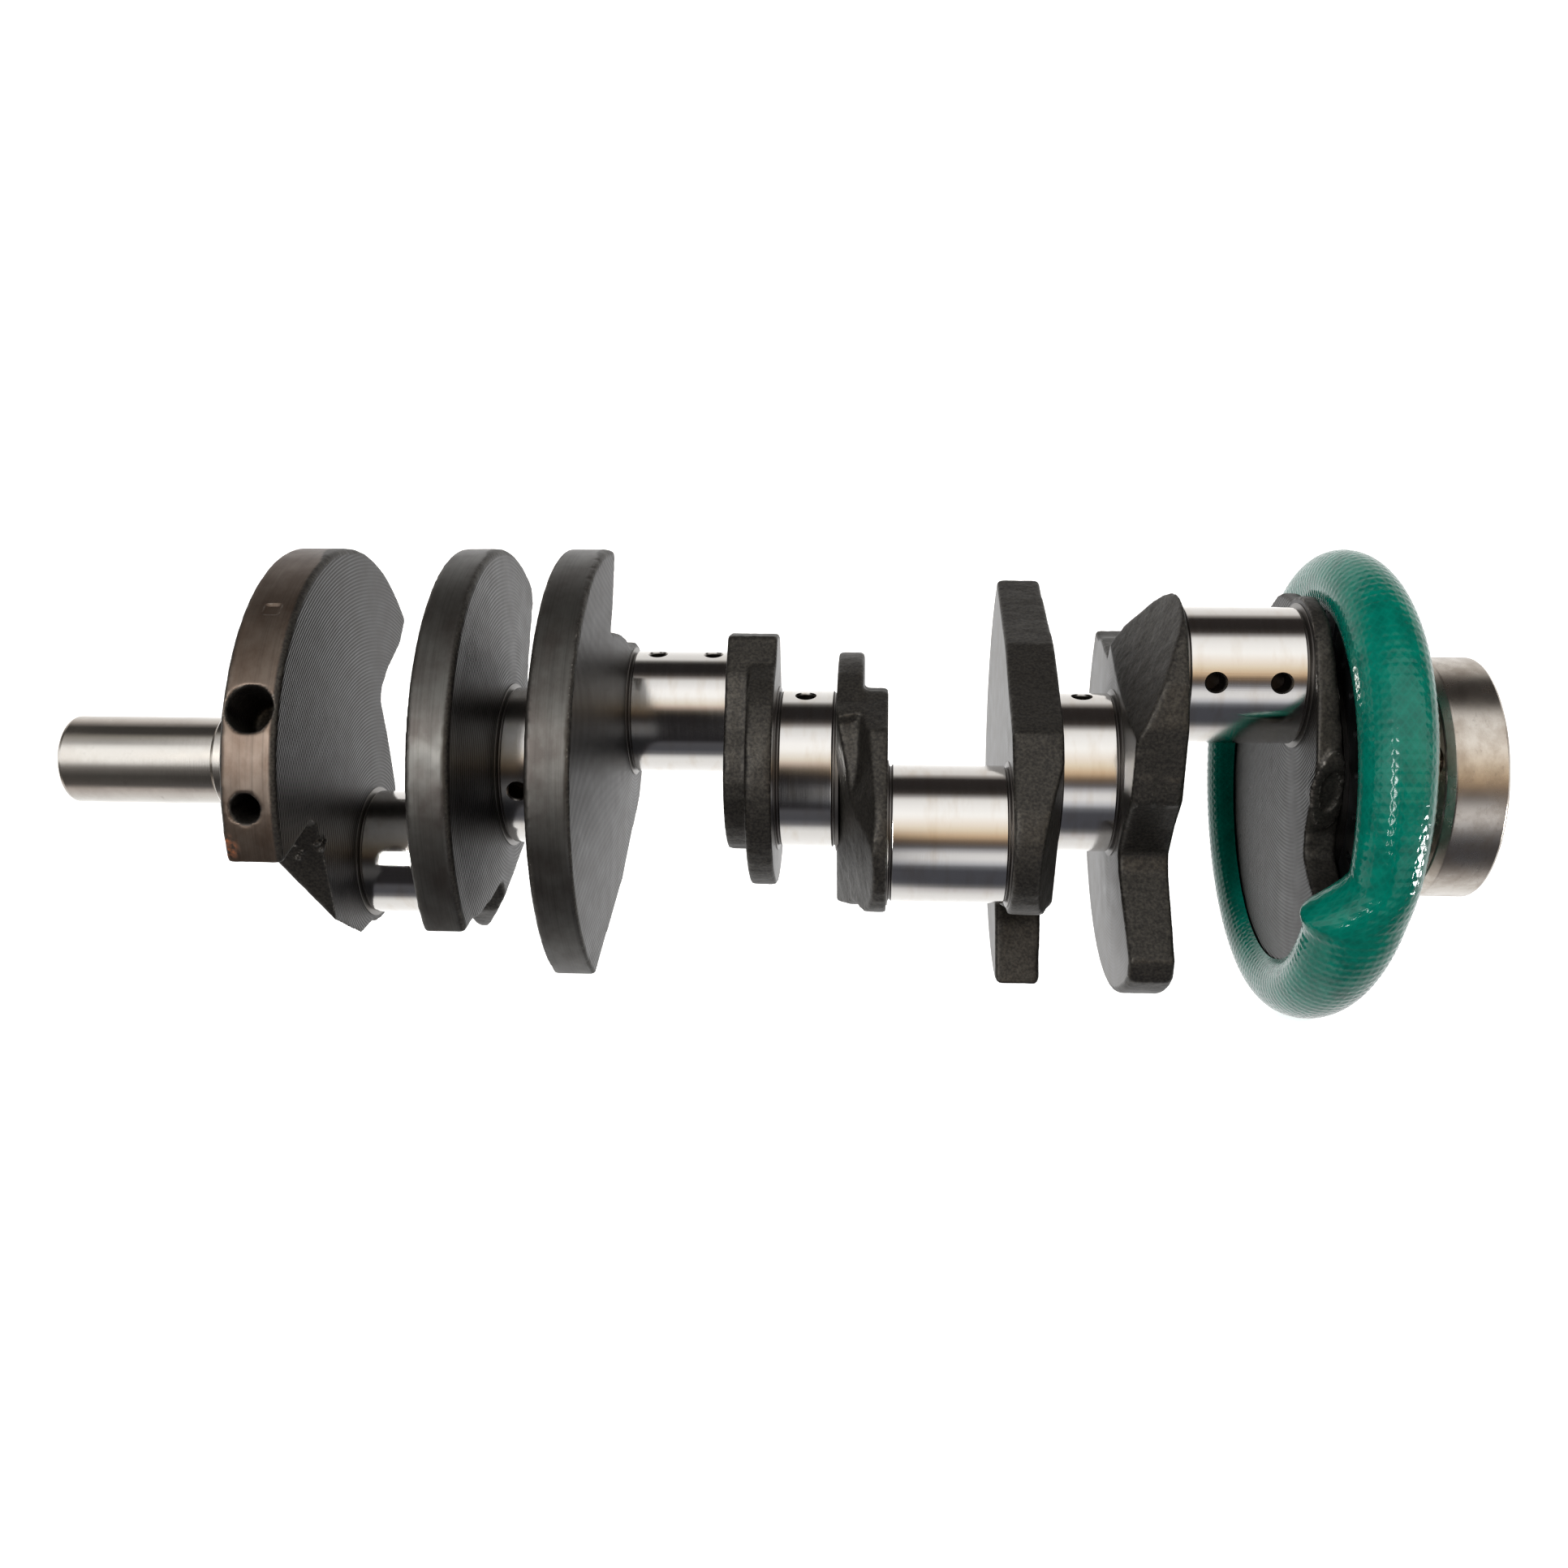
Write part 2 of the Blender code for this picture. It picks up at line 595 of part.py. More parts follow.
def hose_loop(clock, last_web):
    """Closed section of the hose: outer wall from lip to lip, then the inner wall back."""
    middle, half_width, front_lip, rear_lip = hose_section(clock, last_web)
    outward = clock_direction(clock)
    loop = []
    for shrink, steps in ((0, range(HOSE_SECTION_STEPS + 1)),
                          (HOSE_WALL, range(HOSE_SECTION_STEPS, -1, -1))):
        width = half_width - shrink
        depth = HOSE_HALF_DEPTH - shrink
        start = lip_angle(front_lip, middle, width)
        end = lip_angle(rear_lip, middle, width) - 2 * math.pi
        for index in steps:
            turn = start + (end - start) * index / HOSE_SECTION_STEPS
            along = middle + width * math.sin(turn + math.pi / 2)
            radius = HOSE_PATH_RADIUS + depth * math.sin(turn)
            loop.append(Vector((along, 0, -HOSE_DROP)) + outward * radius)
    return loop


def make_hose(last_web, parts, material):
    """Loft the hose's section round the ring; the section changes, so no modifier can turn it."""
    work = bmesh.new()
    rings = []
    for index in range(HOSE_STEPS):
        loop = hose_loop(index * 360 / HOSE_STEPS, last_web)
        rings.append([work.verts.new(point) for point in loop])
    for index in range(HOSE_STEPS):
        here = rings[index]
        after = rings[(index + 1) % HOSE_STEPS]
        for side in range(len(here)):
            following = (side + 1) % len(here)
            work.faces.new((here[side], here[following], after[following], after[side]))
    bmesh.ops.recalc_face_normals(work, faces=work.faces)
    mesh = bpy.data.meshes.new("guard_hose")
    work.to_mesh(mesh)
    work.free()
    hose = add_object("guard_hose", mesh, parts)
    hose.data.materials.append(material)
    return hose


def shade(parts):
    for item in parts.objects:
        item.data.shade_smooth()
        item.data.set_sharp_from_angle(angle=math.radians(30))


def main():
    clear_scene()
    parts, cutters = make_collections()
    ground = make_material("ground_steel", (0.62, 0.60, 0.57), 0.18, 1.0)
    turned_steel = make_material("turned_steel", (0.38, 0.34, 0.30), 0.35, 1.0)
    casting = make_material("cast_iron", (0.055, 0.050, 0.047), 0.6, 0.6)
    ring_steel = make_material("ring_steel", (0.08, 0.08, 0.085), 0.45, 0.9)
    plug_steel = make_material("plug_steel", (0.45, 0.43, 0.38), 0.4, 1.0)
    hose_plastic = make_material("hose_plastic", (0.0, 0.23, 0.14), 0.2, 0.0)
    webs = web_table()
    make_snout(parts, cutters, turned_steel)
    make_mains(parts, cutters, ground)
    make_pins(parts, cutters, ground)
    for number, web in webs.items():
        item = make_web(number, web, parts, cutters, casting)
        if number == 1:
            balance_holes(item, cutters)
    make_tone_ring(webs[8], parts, cutters, ring_steel, casting)
    make_flange(parts, cutters, turned_steel, plug_steel)
    make_hose(webs[8], parts, hose_plastic)
    shade(parts)


if __name__ == "__main__":
    main()
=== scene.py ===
"""Looks of a cast V8 crankshaft with a slotted tone ring and a split guard hose.

Lengths are metres unless a name ends in _mm. The main axis is X, from the snout at -X to the
flywheel flange at +X, and the origin is the centre of the third main journal. A clock angle is
measured round the main axis from -Y, turning up towards +Z.
"""
from __future__ import annotations

import logging
import math
from dataclasses import dataclass
from enum import Enum

import bpy
import numpy as np
from mathutils import Matrix, Vector


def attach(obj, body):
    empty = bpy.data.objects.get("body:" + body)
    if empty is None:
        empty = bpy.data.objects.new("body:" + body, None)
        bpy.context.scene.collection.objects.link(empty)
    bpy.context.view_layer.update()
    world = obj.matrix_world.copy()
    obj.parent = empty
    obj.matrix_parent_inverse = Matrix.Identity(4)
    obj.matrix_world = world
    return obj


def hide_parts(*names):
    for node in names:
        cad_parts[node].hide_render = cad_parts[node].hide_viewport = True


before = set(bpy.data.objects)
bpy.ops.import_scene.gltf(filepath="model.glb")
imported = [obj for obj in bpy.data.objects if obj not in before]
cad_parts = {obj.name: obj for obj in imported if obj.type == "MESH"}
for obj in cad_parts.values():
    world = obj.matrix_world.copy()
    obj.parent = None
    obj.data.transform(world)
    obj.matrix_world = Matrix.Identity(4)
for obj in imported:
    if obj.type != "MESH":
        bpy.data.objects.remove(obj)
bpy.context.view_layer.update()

log = logging.getLogger("crankshaft")

MM = 0.001
BODY = "root"
MERGE_MM = 0.02
BORE_SPACING_MM = 111.76
THROW_MM = 46.0
CLOCK = 57.7
PIN_CLOCKS = (CLOCK + 180, CLOCK + 90, CLOCK - 90, CLOCK)
SHARP_ANGLE = math.radians(32)


# ---------------------------------------------------------------------------------------------
# Small tools of the bench
# ---------------------------------------------------------------------------------------------

def linear(colour: str) -> tuple[float, float, float, float]:
    """Turn an sRGB hex colour into linear RGBA.

    Args:
        colour: six hex digits after a hash sign.

    Returns:
        The linear colour with full alpha.
    """
    channels = [int(colour[place:place + 2], 16) / 255 for place in (1, 3, 5)]
    values = [c / 12.92 if c <= 0.04045 else ((c + 0.055) / 1.055) ** 2.4 for c in channels]
    return (*values, 1.0)


def clock_direction(clock: float) -> Vector:
    """Unit vector across the main axis at a clock angle in degrees."""
    turn = math.radians(clock)
    return Vector((0, -math.cos(turn), math.sin(turn)))


def smooth_step(low: float, high: float, value: np.ndarray | float) -> np.ndarray | float:
    """Ease from 0 at low to 1 at high."""
    share = np.clip((value - low) / (high - low), 0.0, 1.0)
    return share * share * (3 - 2 * share)


def add_node(tree: bpy.types.NodeTree, kind: str, settings: dict | None = None,
             links: dict | None = None, feeds: dict | None = None) -> bpy.types.Node:
    """Add a node, set its properties and sockets, and link its inputs.

    Args:
        tree: the node tree to add to.
        kind: the node's type name without its ShaderNode prefix.
        settings: property names, or socket names or numbers, with their values.
        links: input socket names or numbers, each with an output socket or a node.
        feeds: output numbers, each with the input socket that it drives.

    Returns:
        The new node.
    """
    node = tree.nodes.new("ShaderNode" + kind)
    for key, value in (settings or {}).items():
        if isinstance(key, str) and hasattr(node, key):
            setattr(node, key, value)
        else:
            node.inputs[key].default_value = value
    for key, source in (links or {}).items():
        output = source.outputs[0] if isinstance(source, bpy.types.Node) else source
        tree.links.new(output, node.inputs[key])
    for key, target in (feeds or {}).items():
        tree.links.new(node.outputs[key], target)
    return node


def select_only(item: bpy.types.Object) -> None:
    """Make one object the only selected one, and the active one."""
    bpy.ops.object.select_all(action="DESELECT")
    item.select_set(True)
    bpy.context.view_layer.objects.active = item


def finish_place(name: str) -> bpy.types.Object:
    """Name the active object and move its placement into its mesh.

    Args:
        name: the object's and the mesh's new name.

    Returns:
        The object.
    """
    item = bpy.context.active_object
    item.name = name
    item.data.name = name
    select_only(item)
    bpy.ops.object.transform_apply(location=True, rotation=True, scale=True)
    return item


def tidy_mesh(item: bpy.types.Object) -> None:
    """Merge doubled vertices and turn every face outwards.

    Args:
        item: the closed piece to tidy.
    """
    select_only(item)
    bpy.ops.object.mode_set(mode="EDIT")
    bpy.ops.mesh.select_all(action="SELECT")
    bpy.ops.mesh.remove_doubles(threshold=MERGE_MM * MM)
    bpy.ops.mesh.normals_make_consistent(inside=False)
    bpy.ops.object.mode_set(mode="OBJECT")


def apply_modifier(item: bpy.types.Object, kind: str, **settings: object) -> None:
    """Add a modifier with its settings and apply it.

    Args:
        item: the object to change.
        kind: the modifier's type name.
        settings: the modifier's properties.
    """
    select_only(item)
    change = item.modifiers.new(kind.lower(), kind)
    for key, value in settings.items():
        setattr(change, key, value)
    bpy.ops.object.modifier_apply(modifier=change.name)


def combine(item: bpy.types.Object, tool: bpy.types.Object, operation: str = "DIFFERENCE") -> None:
    """Cut a tool out of an item, or weld it on, and throw the tool away."""
    apply_modifier(item, "BOOLEAN", operation=operation, solver="EXACT", object=tool)
    bpy.data.objects.remove(tool, do_unlink=True)


def shade(item: bpy.types.Object, angle: float = SHARP_ANGLE) -> None:
    """Shade a piece smooth, with its edges sharp above an angle."""
    select_only(item)
    bpy.ops.object.shade_smooth_by_angle(angle=angle)


def support(profile_mm: list[tuple[float, float]], inset: float = 0.15,
            shortest: float = 1.0) -> list[tuple[float, float]]:
    """Add a point just inside both ends of every long run, so that it shades flat between them.

    Args:
        profile_mm: (x, radius) points in millimetres.
        inset: how far inside an end the new point lies.
        shortest: the length above which a run gets its points.

    Returns:
        The profile with its new points.
    """
    result = profile_mm[:1]
    for start, end in zip(profile_mm, profile_mm[1:]):
        length = math.dist(start, end)
        if length > shortest:
            for share in (inset / length, 1 - inset / length):
                result.append(tuple(a + (b - a) * share for a, b in zip(start, end)))
        result.append(end)
    return result


def turn_piece(name: str, profile_mm: list[tuple[float, float]], centre: Vector = Vector((0, 0, 0)),
               segments: int = 192, ring: bool = False) -> bpy.types.Object:
    """Model a turned piece: a circle about the X axis, extruded and resized along its profile.

    Args:
        name: the piece's name.
        profile_mm: (x, radius) points in millimetres, in order along the surface.
        centre: a point on the turning axis, whose Y and Z count.
        segments: faces round the piece.
        ring: True for a closed profile with a hole in the middle.

    Returns:
        The new piece, with its place in its mesh.
    """
    bpy.ops.object.select_all(action="DESELECT")
    profile_mm = support(profile_mm + profile_mm[:1])[:-1] if ring else support(profile_mm)
    start, radius = profile_mm[0]
    bpy.ops.mesh.primitive_circle_add(
        vertices=segments, radius=radius * MM, fill_type="NOTHING" if ring else "NGON",
        location=(start * MM, centre.y, centre.z), rotation=(0, math.pi / 2, 0))
    bpy.ops.object.mode_set(mode="EDIT")
    bpy.ops.mesh.select_all(action="SELECT")
    path = profile_mm[1:] + (profile_mm[:1] if ring else [])
    for along, next_radius in path:
        bpy.ops.mesh.extrude_region_move(
            TRANSFORM_OT_translate={"value": ((along - start) * MM, 0, 0)})
        share = next_radius / radius
        if abs(share - 1) > 1e-9:
            bpy.ops.transform.resize(value=(1, share, share),
                                     center_override=(along * MM, centre.y, centre.z))
        start, radius = along, next_radius
    bpy.ops.object.mode_set(mode="OBJECT")
    item = finish_place(name)
    tidy_mesh(item)
    return item


def make_drill(surface: Vector, outward: Vector, radius_mm: float, depth_mm: float,
               segments: int = 40) -> bpy.types.Object:
    """A round cutter that goes in from a point on a surface.

    Args:
        surface: the point where the drill's axis meets the surface.
        outward: the unit direction out of the material.
        radius_mm: the drill's radius.
        depth_mm: how deep it goes.
        segments: faces round the drill.

    Returns:
        The cutter.
    """
    reach = 6.0
    middle = surface + outward * (reach - depth_mm) / 2 * MM
    turn = outward.to_track_quat("Z", "Y").to_euler()
    bpy.ops.object.select_all(action="DESELECT")
    bpy.ops.mesh.primitive_cylinder_add(vertices=segments, radius=radius_mm * MM,
                                        depth=(depth_mm + reach) * MM, location=middle, rotation=turn)
    return finish_place("drill")


def make_countersink(surface: Vector, outward: Vector, radius_mm: float, lip_mm: float,
                     segments: int = 40) -> bpy.types.Object:
    """A cone that chamfers the mouth of a drilled hole.

    Args:
        surface: the point where the hole's axis meets the surface.
        outward: the unit direction out of the material.
        radius_mm: the hole's radius.
        lip_mm: the chamfer's width.
        segments: faces round the cone.

    Returns:
        The cutter.
    """
    deep = lip_mm * 1.5
    proud = lip_mm * 2.0
    slope = lip_mm / deep
    middle = surface + outward * (proud - deep) / 2 * MM
    turn = outward.to_track_quat("Z", "Y").to_euler()
    bpy.ops.object.select_all(action="DESELECT")
    bpy.ops.mesh.primitive_cone_add(vertices=segments, radius1=radius_mm * MM * 0.98,
                                    radius2=(radius_mm + (deep + proud) * slope) * MM,
                                    depth=(deep + proud) * MM, location=middle, rotation=turn)
    return finish_place("countersink")


def bake_noise(item: bpy.types.Object, size_mm: float, height_mm: float, group: str) -> None:
    """Push a surface in and out by clouds of one size, where a vertex group says.

    Args:
        item: the piece to roughen.
        size_mm: size of one lump.
        height_mm: distance from the lowest to the highest point.
        group: the vertex group that holds the strength.
    """
    clouds = bpy.data.textures.new("lumps", "CLOUDS")
    clouds.noise_scale = size_mm * MM
    clouds.noise_depth = 2
    apply_modifier(item, "DISPLACE", texture=clouds, texture_coords="LOCAL", strength=height_mm * MM,
                   mid_level=0.5, vertex_group=group)
    bpy.data.textures.remove(clouds)


def read_points(mesh: bpy.types.Mesh, kind: str = "co") -> np.ndarray:
    """Vertex positions or normals of a mesh as an N by 3 array."""
    values = np.empty(len(mesh.vertices) * 3)
    mesh.vertices.foreach_get(kind, values)
    return values.reshape(-1, 3)


def write_points(mesh: bpy.types.Mesh, points: np.ndarray) -> None:
    """Set the vertex positions of a mesh."""
    mesh.vertices.foreach_set("co", points.ravel())
    mesh.update()


def write_attribute(mesh: bpy.types.Mesh, name: str, values: np.ndarray) -> None:
    """Store one number per vertex under a name that a material can read."""
    if name in mesh.attributes:
        mesh.attributes.remove(mesh.attributes[name])
    layer = mesh.attributes.new(name, "FLOAT", "POINT")
    layer.data.foreach_set("value", values.astype(np.float32))


def write_group(item: bpy.types.Object, name: str, values: np.ndarray) -> None:
    """Store one weight per vertex in a vertex group, in steps of a twentieth.

    Args:
        item: the piece that owns the group.
        name: the group's name.
        values: one weight per vertex.
    """
    group = item.vertex_groups.get(name) or item.vertex_groups.new(name=name)
    steps = np.rint(np.clip(values, 0, 1) * 20).astype(int)
    for step in range(0, 21):
        chosen = np.nonzero(steps == step)[0].tolist()
        if chosen:
            group.add(chosen, step / 20, "REPLACE")


def convexity(mesh: bpy.types.Mesh) -> np.ndarray:
    """How far each vertex stands out of its neighbours along its normal.

    Args:
        mesh: the mesh to read.

    Returns:
        One length in millimetres per vertex.
    """
    points = read_points(mesh)
    normals = read_points(mesh, "normal")
    ends = np.empty(len(mesh.edges) * 2, dtype=np.int64)
    mesh.edges.foreach_get("vertices", ends)
    first, second = ends.reshape(-1, 2).T
    count = np.bincount(np.concatenate((first, second)), minlength=len(points))
    total = np.stack([np.bincount(np.concatenate((first, second)),
                                  weights=np.concatenate((points[second, axis], points[first, axis])),
                                  minlength=len(points)) for axis in range(3)], axis=1)
    lean = points - total / np.maximum(count, 1)[:, None]
    return np.einsum("ij,ij->i", lean, normals) / MM


def hand_in(item: bpy.types.Object, nodes: tuple[str, ...],
            finish: bpy.types.Material) -> bpy.types.Object:
    """Dress a finished piece, hang it on the shaft's body and hide the CAD nodes that it stands for.

    Args:
        item: the finished piece.
        nodes: the CAD nodes that it stands for.
        finish: its material.

    Returns:
        The piece.
    """
    item.data.materials.clear()
    item.data.materials.append(finish)
    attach(item, BODY)
    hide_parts(*nodes)
    log.info("%s: %d faces", item.name, len(item.data.polygons))
    return item


# ---------------------------------------------------------------------------------------------
# Finishes
# ---------------------------------------------------------------------------------------------

def new_material(name: str) -> tuple[bpy.types.Material, bpy.types.NodeTree, bpy.types.Node]:
    """Make a material and return it with its tree and its shader."""
    material = bpy.data.materials.new(name)
    material.use_nodes = True
    return material, material.node_tree, material.node_tree.nodes["Principled BSDF"]


def scale_of(size_mm: float, stretch: tuple[float, float, float] = (1, 1, 1)) -> tuple[float, ...]:
    """Mapping scale that gives a pattern one real size, drawn out along some axes.

    Args:
        size_mm: the size of one lump of the pattern.
        stretch: how many times longer the lump is along each axis.

    Returns:
        The scale along X, Y and Z.
    """
    return tuple(1 / (size_mm * MM * part) for part in stretch)


@dataclass(frozen=True)
class GroundSteel:
    """Journal ground and belt polished: a near mirror with fine lines round it.

    The mesh attribute read below is high in the rolled fillets and in the oil holes, and turns them dark
    and rough. The fillets are left unpolished by the belt; the dark down the oil holes and in the fillet
    creases beside the web faces is painted shade.
    """

    name: str = "ground_journal_iron"
    clean: str = "#cfccc8"
    warm: str = "#bfb4a6"
    # Colour of the fillets and oil holes: their unpolished tone, darkened further as painted shade.
    dark: str = "#3d3834"
    line_mm: float = 0.35
    film_mm: float = 14.0
    roughness: float = 0.09

    def material(self) -> bpy.types.Material:
        """Build the material."""
        material, tree, shader = new_material(self.name)
        place = add_node(tree, "TexCoord").outputs["Object"]
        along = add_node(tree, "Mapping", {"Scale": scale_of(self.line_mm, (1, 90, 90))}, {"Vector": place})
        lines = add_node(tree, "TexNoise", {"Scale": 1.0, "Detail": 4.0, "Roughness": 0.7},
                         {"Vector": along})
        wide = add_node(tree, "Mapping", {"Scale": scale_of(self.film_mm, (0.35, 1, 1))}, {"Vector": place})
        film = add_node(tree, "TexNoise", {"Scale": 1.0, "Detail": 3.0}, {"Vector": wide})
        streak = add_node(tree, "MapRange", {"From Min": 0.5, "From Max": 0.75, "To Max": 0.45},
                          {"Value": film})
        belt = add_node(tree, "Mix", {"data_type": "RGBA", 6: linear(self.clean), 7: linear(self.warm)},
                        {0: streak})
        # Painted shade: the oil holes and the fillet creases are mixed towards the dark colour; the fillets
        # are also unpolished and rougher.
        missed_and_shaded = add_node(tree, "Attribute", {"attribute_name": "unpolished_and_painted_shade"}).outputs["Fac"]
        add_node(tree, "Mix", {"data_type": "RGBA", 7: linear(self.dark)},
                 {0: missed_and_shaded, 6: belt.outputs[2]}, {2: shader.inputs["Base Color"]})
        sheen = add_node(tree, "MapRange", {"From Min": 0.3, "From Max": 0.7, "To Min": self.roughness,
                                            "To Max": self.roughness + 0.06}, {"Value": lines})
        add_node(tree, "Math", {"operation": "MULTIPLY_ADD", 1: 0.3}, {0: missed_and_shaded, 2: sheen},
                 {0: shader.inputs["Roughness"]})
        add_node(tree, "Bump", {"Strength": 0.6, "Distance": 0.004 * MM}, {"Height": lines},
                 {0: shader.inputs["Normal"]})
        shader.inputs["Metallic"].default_value = 1.0
        return material


@dataclass(frozen=True)
class TurnedSteel:
    """Turned and lightly stained iron: duller than a journal, with film and handling marks."""

    name: str = "turned_iron"
    clean: str = "#bdb6ad"
    stain: str = "#7c6855"
    dark: str = "#3a332e"
    stain_share: float = 0.7
    speck_share: float = 0.45
    feed_mm: float = 0.45
    roughness: float = 0.22

    def material(self) -> bpy.types.Material:
        """Build the material."""
        material, tree, shader = new_material(self.name)
        place = add_node(tree, "TexCoord").outputs["Object"]
        along = add_node(tree, "Mapping", {"Scale": scale_of(self.feed_mm, (1, 60, 60))}, {"Vector": place})
        feed = add_node(tree, "TexNoise", {"Scale": 1.0, "Detail": 3.0, "Roughness": 0.65},
                        {"Vector": along})
        wide = add_node(tree, "Mapping", {"Scale": scale_of(22.0, (0.8, 1, 1))}, {"Vector": place})
        film = add_node(tree, "TexNoise", {"Scale": 1.0, "Detail": 5.0, "Roughness": 0.65},
                        {"Vector": wide})
        small = add_node(tree, "Mapping", {"Scale": scale_of(3.0, (1, 2, 2))}, {"Vector": place})
        fine = add_node(tree, "TexNoise", {"Scale": 1.0, "Detail": 6.0, "Roughness": 0.7},
                        {"Vector": small})
        brown = add_node(tree, "MapRange", {"From Min": 0.42, "From Max": 0.7, "To Max": self.stain_share},
                         {"Value": film})
        skin = add_node(tree, "Mix", {"data_type": "RGBA", 6: linear(self.clean), 7: linear(self.stain)},
                        {0: brown})
        speck = add_node(tree, "MapRange", {"From Min": 0.6, "From Max": 0.74, "To Max": self.speck_share},
                         {"Value": fine})
        add_node(tree, "Mix", {"data_type": "RGBA", 7: linear(self.dark)}, {0: speck, 6: skin.outputs[2]},
                 {2: shader.inputs["Base Color"]})
        add_node(tree, "MapRange", {"From Min": 0.35, "From Max": 0.75, "To Min": self.roughness,
                                    "To Max": self.roughness + 0.14}, {"Value": film},
                 {0: shader.inputs["Roughness"]})
        rings = add_node(tree, "Bump", {"Strength": 0.7, "Distance": 0.012 * MM}, {"Height": feed})
        add_node(tree, "Bump", {"Strength": 0.4, "Distance": 0.02 * MM}, {"Height": fine, "Normal": rings},
                 {0: shader.inputs["Normal"]})
        shader.inputs["Metallic"].default_value = 1.0
        return material


@dataclass(frozen=True)
class CastingIron:
    """Nodular iron as it left the sand, turned where the mesh says so.

    The sand leaves a dark skin with a fine grit. Turned faces keep the tool's grooves, turned
    rims are grey-brown with fine streaks, and outer edges are rubbed to bare metal in places.
    """

    name: str = "nodular_iron_casting"
    skin: str = "#302e2c"
    skin_light: str = "#47443f"
    face: str = "#1e1c1b"
    face_light: str = "#373432"
    rim: str = "#51504d"
    rim_brown: str = "#423e3b"
    rim_dark: str = "#292725"
    bare: str = "#aaa59e"
    rust: str = "#8a4a22"
    grit_mm: float = 1.1
    groove_mm: float = 1.5
    groove_depth_mm: float = 0.07
    groove_tint: float = 0.35
    face_roughness: float = 0.42
    skin_roughness: float = 0.52

    def material(self) -> bpy.types.Material:
        """Build the material."""
        material, tree, shader = new_material(self.name)
        machined = add_node(tree, "Attribute", {"attribute_name": "machined"}).outputs["Fac"]
        rim = add_node(tree, "Attribute", {"attribute_name": "rim"}).outputs["Fac"]
        ring = add_node(tree, "Attribute", {"attribute_name": "ring"}).outputs["Fac"]
        edge = add_node(tree, "Attribute", {"attribute_name": "edge"}).outputs["Fac"]
        rusty = add_node(tree, "Attribute", {"attribute_name": "rust"}).outputs["Fac"]

        place = add_node(tree, "TexCoord").outputs["Object"]
        broad = add_node(tree, "TexNoise", {"Scale": 1 / (30 * MM), "Detail": 3.0}, {"Vector": place})
        blotch = add_node(tree, "TexNoise", {"Scale": 1 / (9 * MM), "Detail": 5.0}, {"Vector": place})
        grit = add_node(tree, "TexNoise", {"Scale": 1 / (self.grit_mm * MM), "Detail": 3.0},
                        {"Vector": place})
        sand = add_node(tree, "MapRange", {"From Min": 0.36, "From Max": 0.68}, {"Value": grit})
        skin = add_node(tree, "Mix", {"data_type": "RGBA", 6: linear(self.skin),
                                      7: linear(self.skin_light)}, {0: sand})

        wander = add_node(tree, "Math", {"operation": "MULTIPLY", 1: 3.6}, {0: broad})
        phase = add_node(tree, "Math", {"operation": "MULTIPLY_ADD", 1: 2 * math.pi / self.groove_mm},
                         {0: ring, 2: wander})
        groove = add_node(tree, "Math", {"operation": "SINE"}, {0: phase})
        sweep = add_node(tree, "CombineXYZ", {}, {0: ring, 1: broad})
        arcs = add_node(tree, "TexNoise", {"Scale": 1.4, "Detail": 4.0, "Roughness": 0.7},
                        {"Vector": sweep})
        clouds = add_node(tree, "MapRange", {"From Min": 0.35, "From Max": 0.7}, {"Value": blotch})
        face = add_node(tree, "Mix", {"data_type": "RGBA", 6: linear(self.face),
                                      7: linear(self.face_light)}, {0: clouds})
        scratch = add_node(tree, "MapRange", {"From Min": 0.63, "From Max": 0.74, "To Max": 0.3},
                           {"Value": arcs})
        face = add_node(tree, "Mix", {"data_type": "RGBA", 7: linear(self.bare)},
                        {0: scratch, 6: face.outputs[2]})
        valley = add_node(tree, "MapRange", {"From Min": 0.2, "From Max": 1.0, "To Max": self.groove_tint},
                          {"Value": groove})
        face = add_node(tree, "Mix", {"data_type": "RGBA", 7: linear(self.face_light)},
                        {0: valley, 6: face.outputs[2]})

        along = add_node(tree, "Mapping", {"Scale": scale_of(0.9, (1, 70, 70))}, {"Vector": place})
        turned = add_node(tree, "TexNoise", {"Scale": 1.0, "Detail": 4.0, "Roughness": 0.65},
                          {"Vector": along})
        film = add_node(tree, "Mapping", {"Scale": scale_of(16.0, (0.7, 1, 1))}, {"Vector": place})
        stain = add_node(tree, "TexNoise", {"Scale": 1.0, "Detail": 5.0, "Roughness": 0.6},
                         {"Vector": film})
        brown = add_node(tree, "MapRange", {"From Min": 0.38, "From Max": 0.66}, {"Value": stain})
        outer = add_node(tree, "Mix", {"data_type": "RGBA", 6: linear(self.rim),
                                       7: linear(self.rim_brown)}, {0: brown})
        streak = add_node(tree, "MapRange", {"From Min": 0.48, "From Max": 0.75, "To Max": 0.4},
                          {"Value": turned})
        outer = add_node(tree, "Mix", {"data_type": "RGBA", 7: linear(self.rim_dark)},
                         {0: streak, 6: outer.outputs[2]})

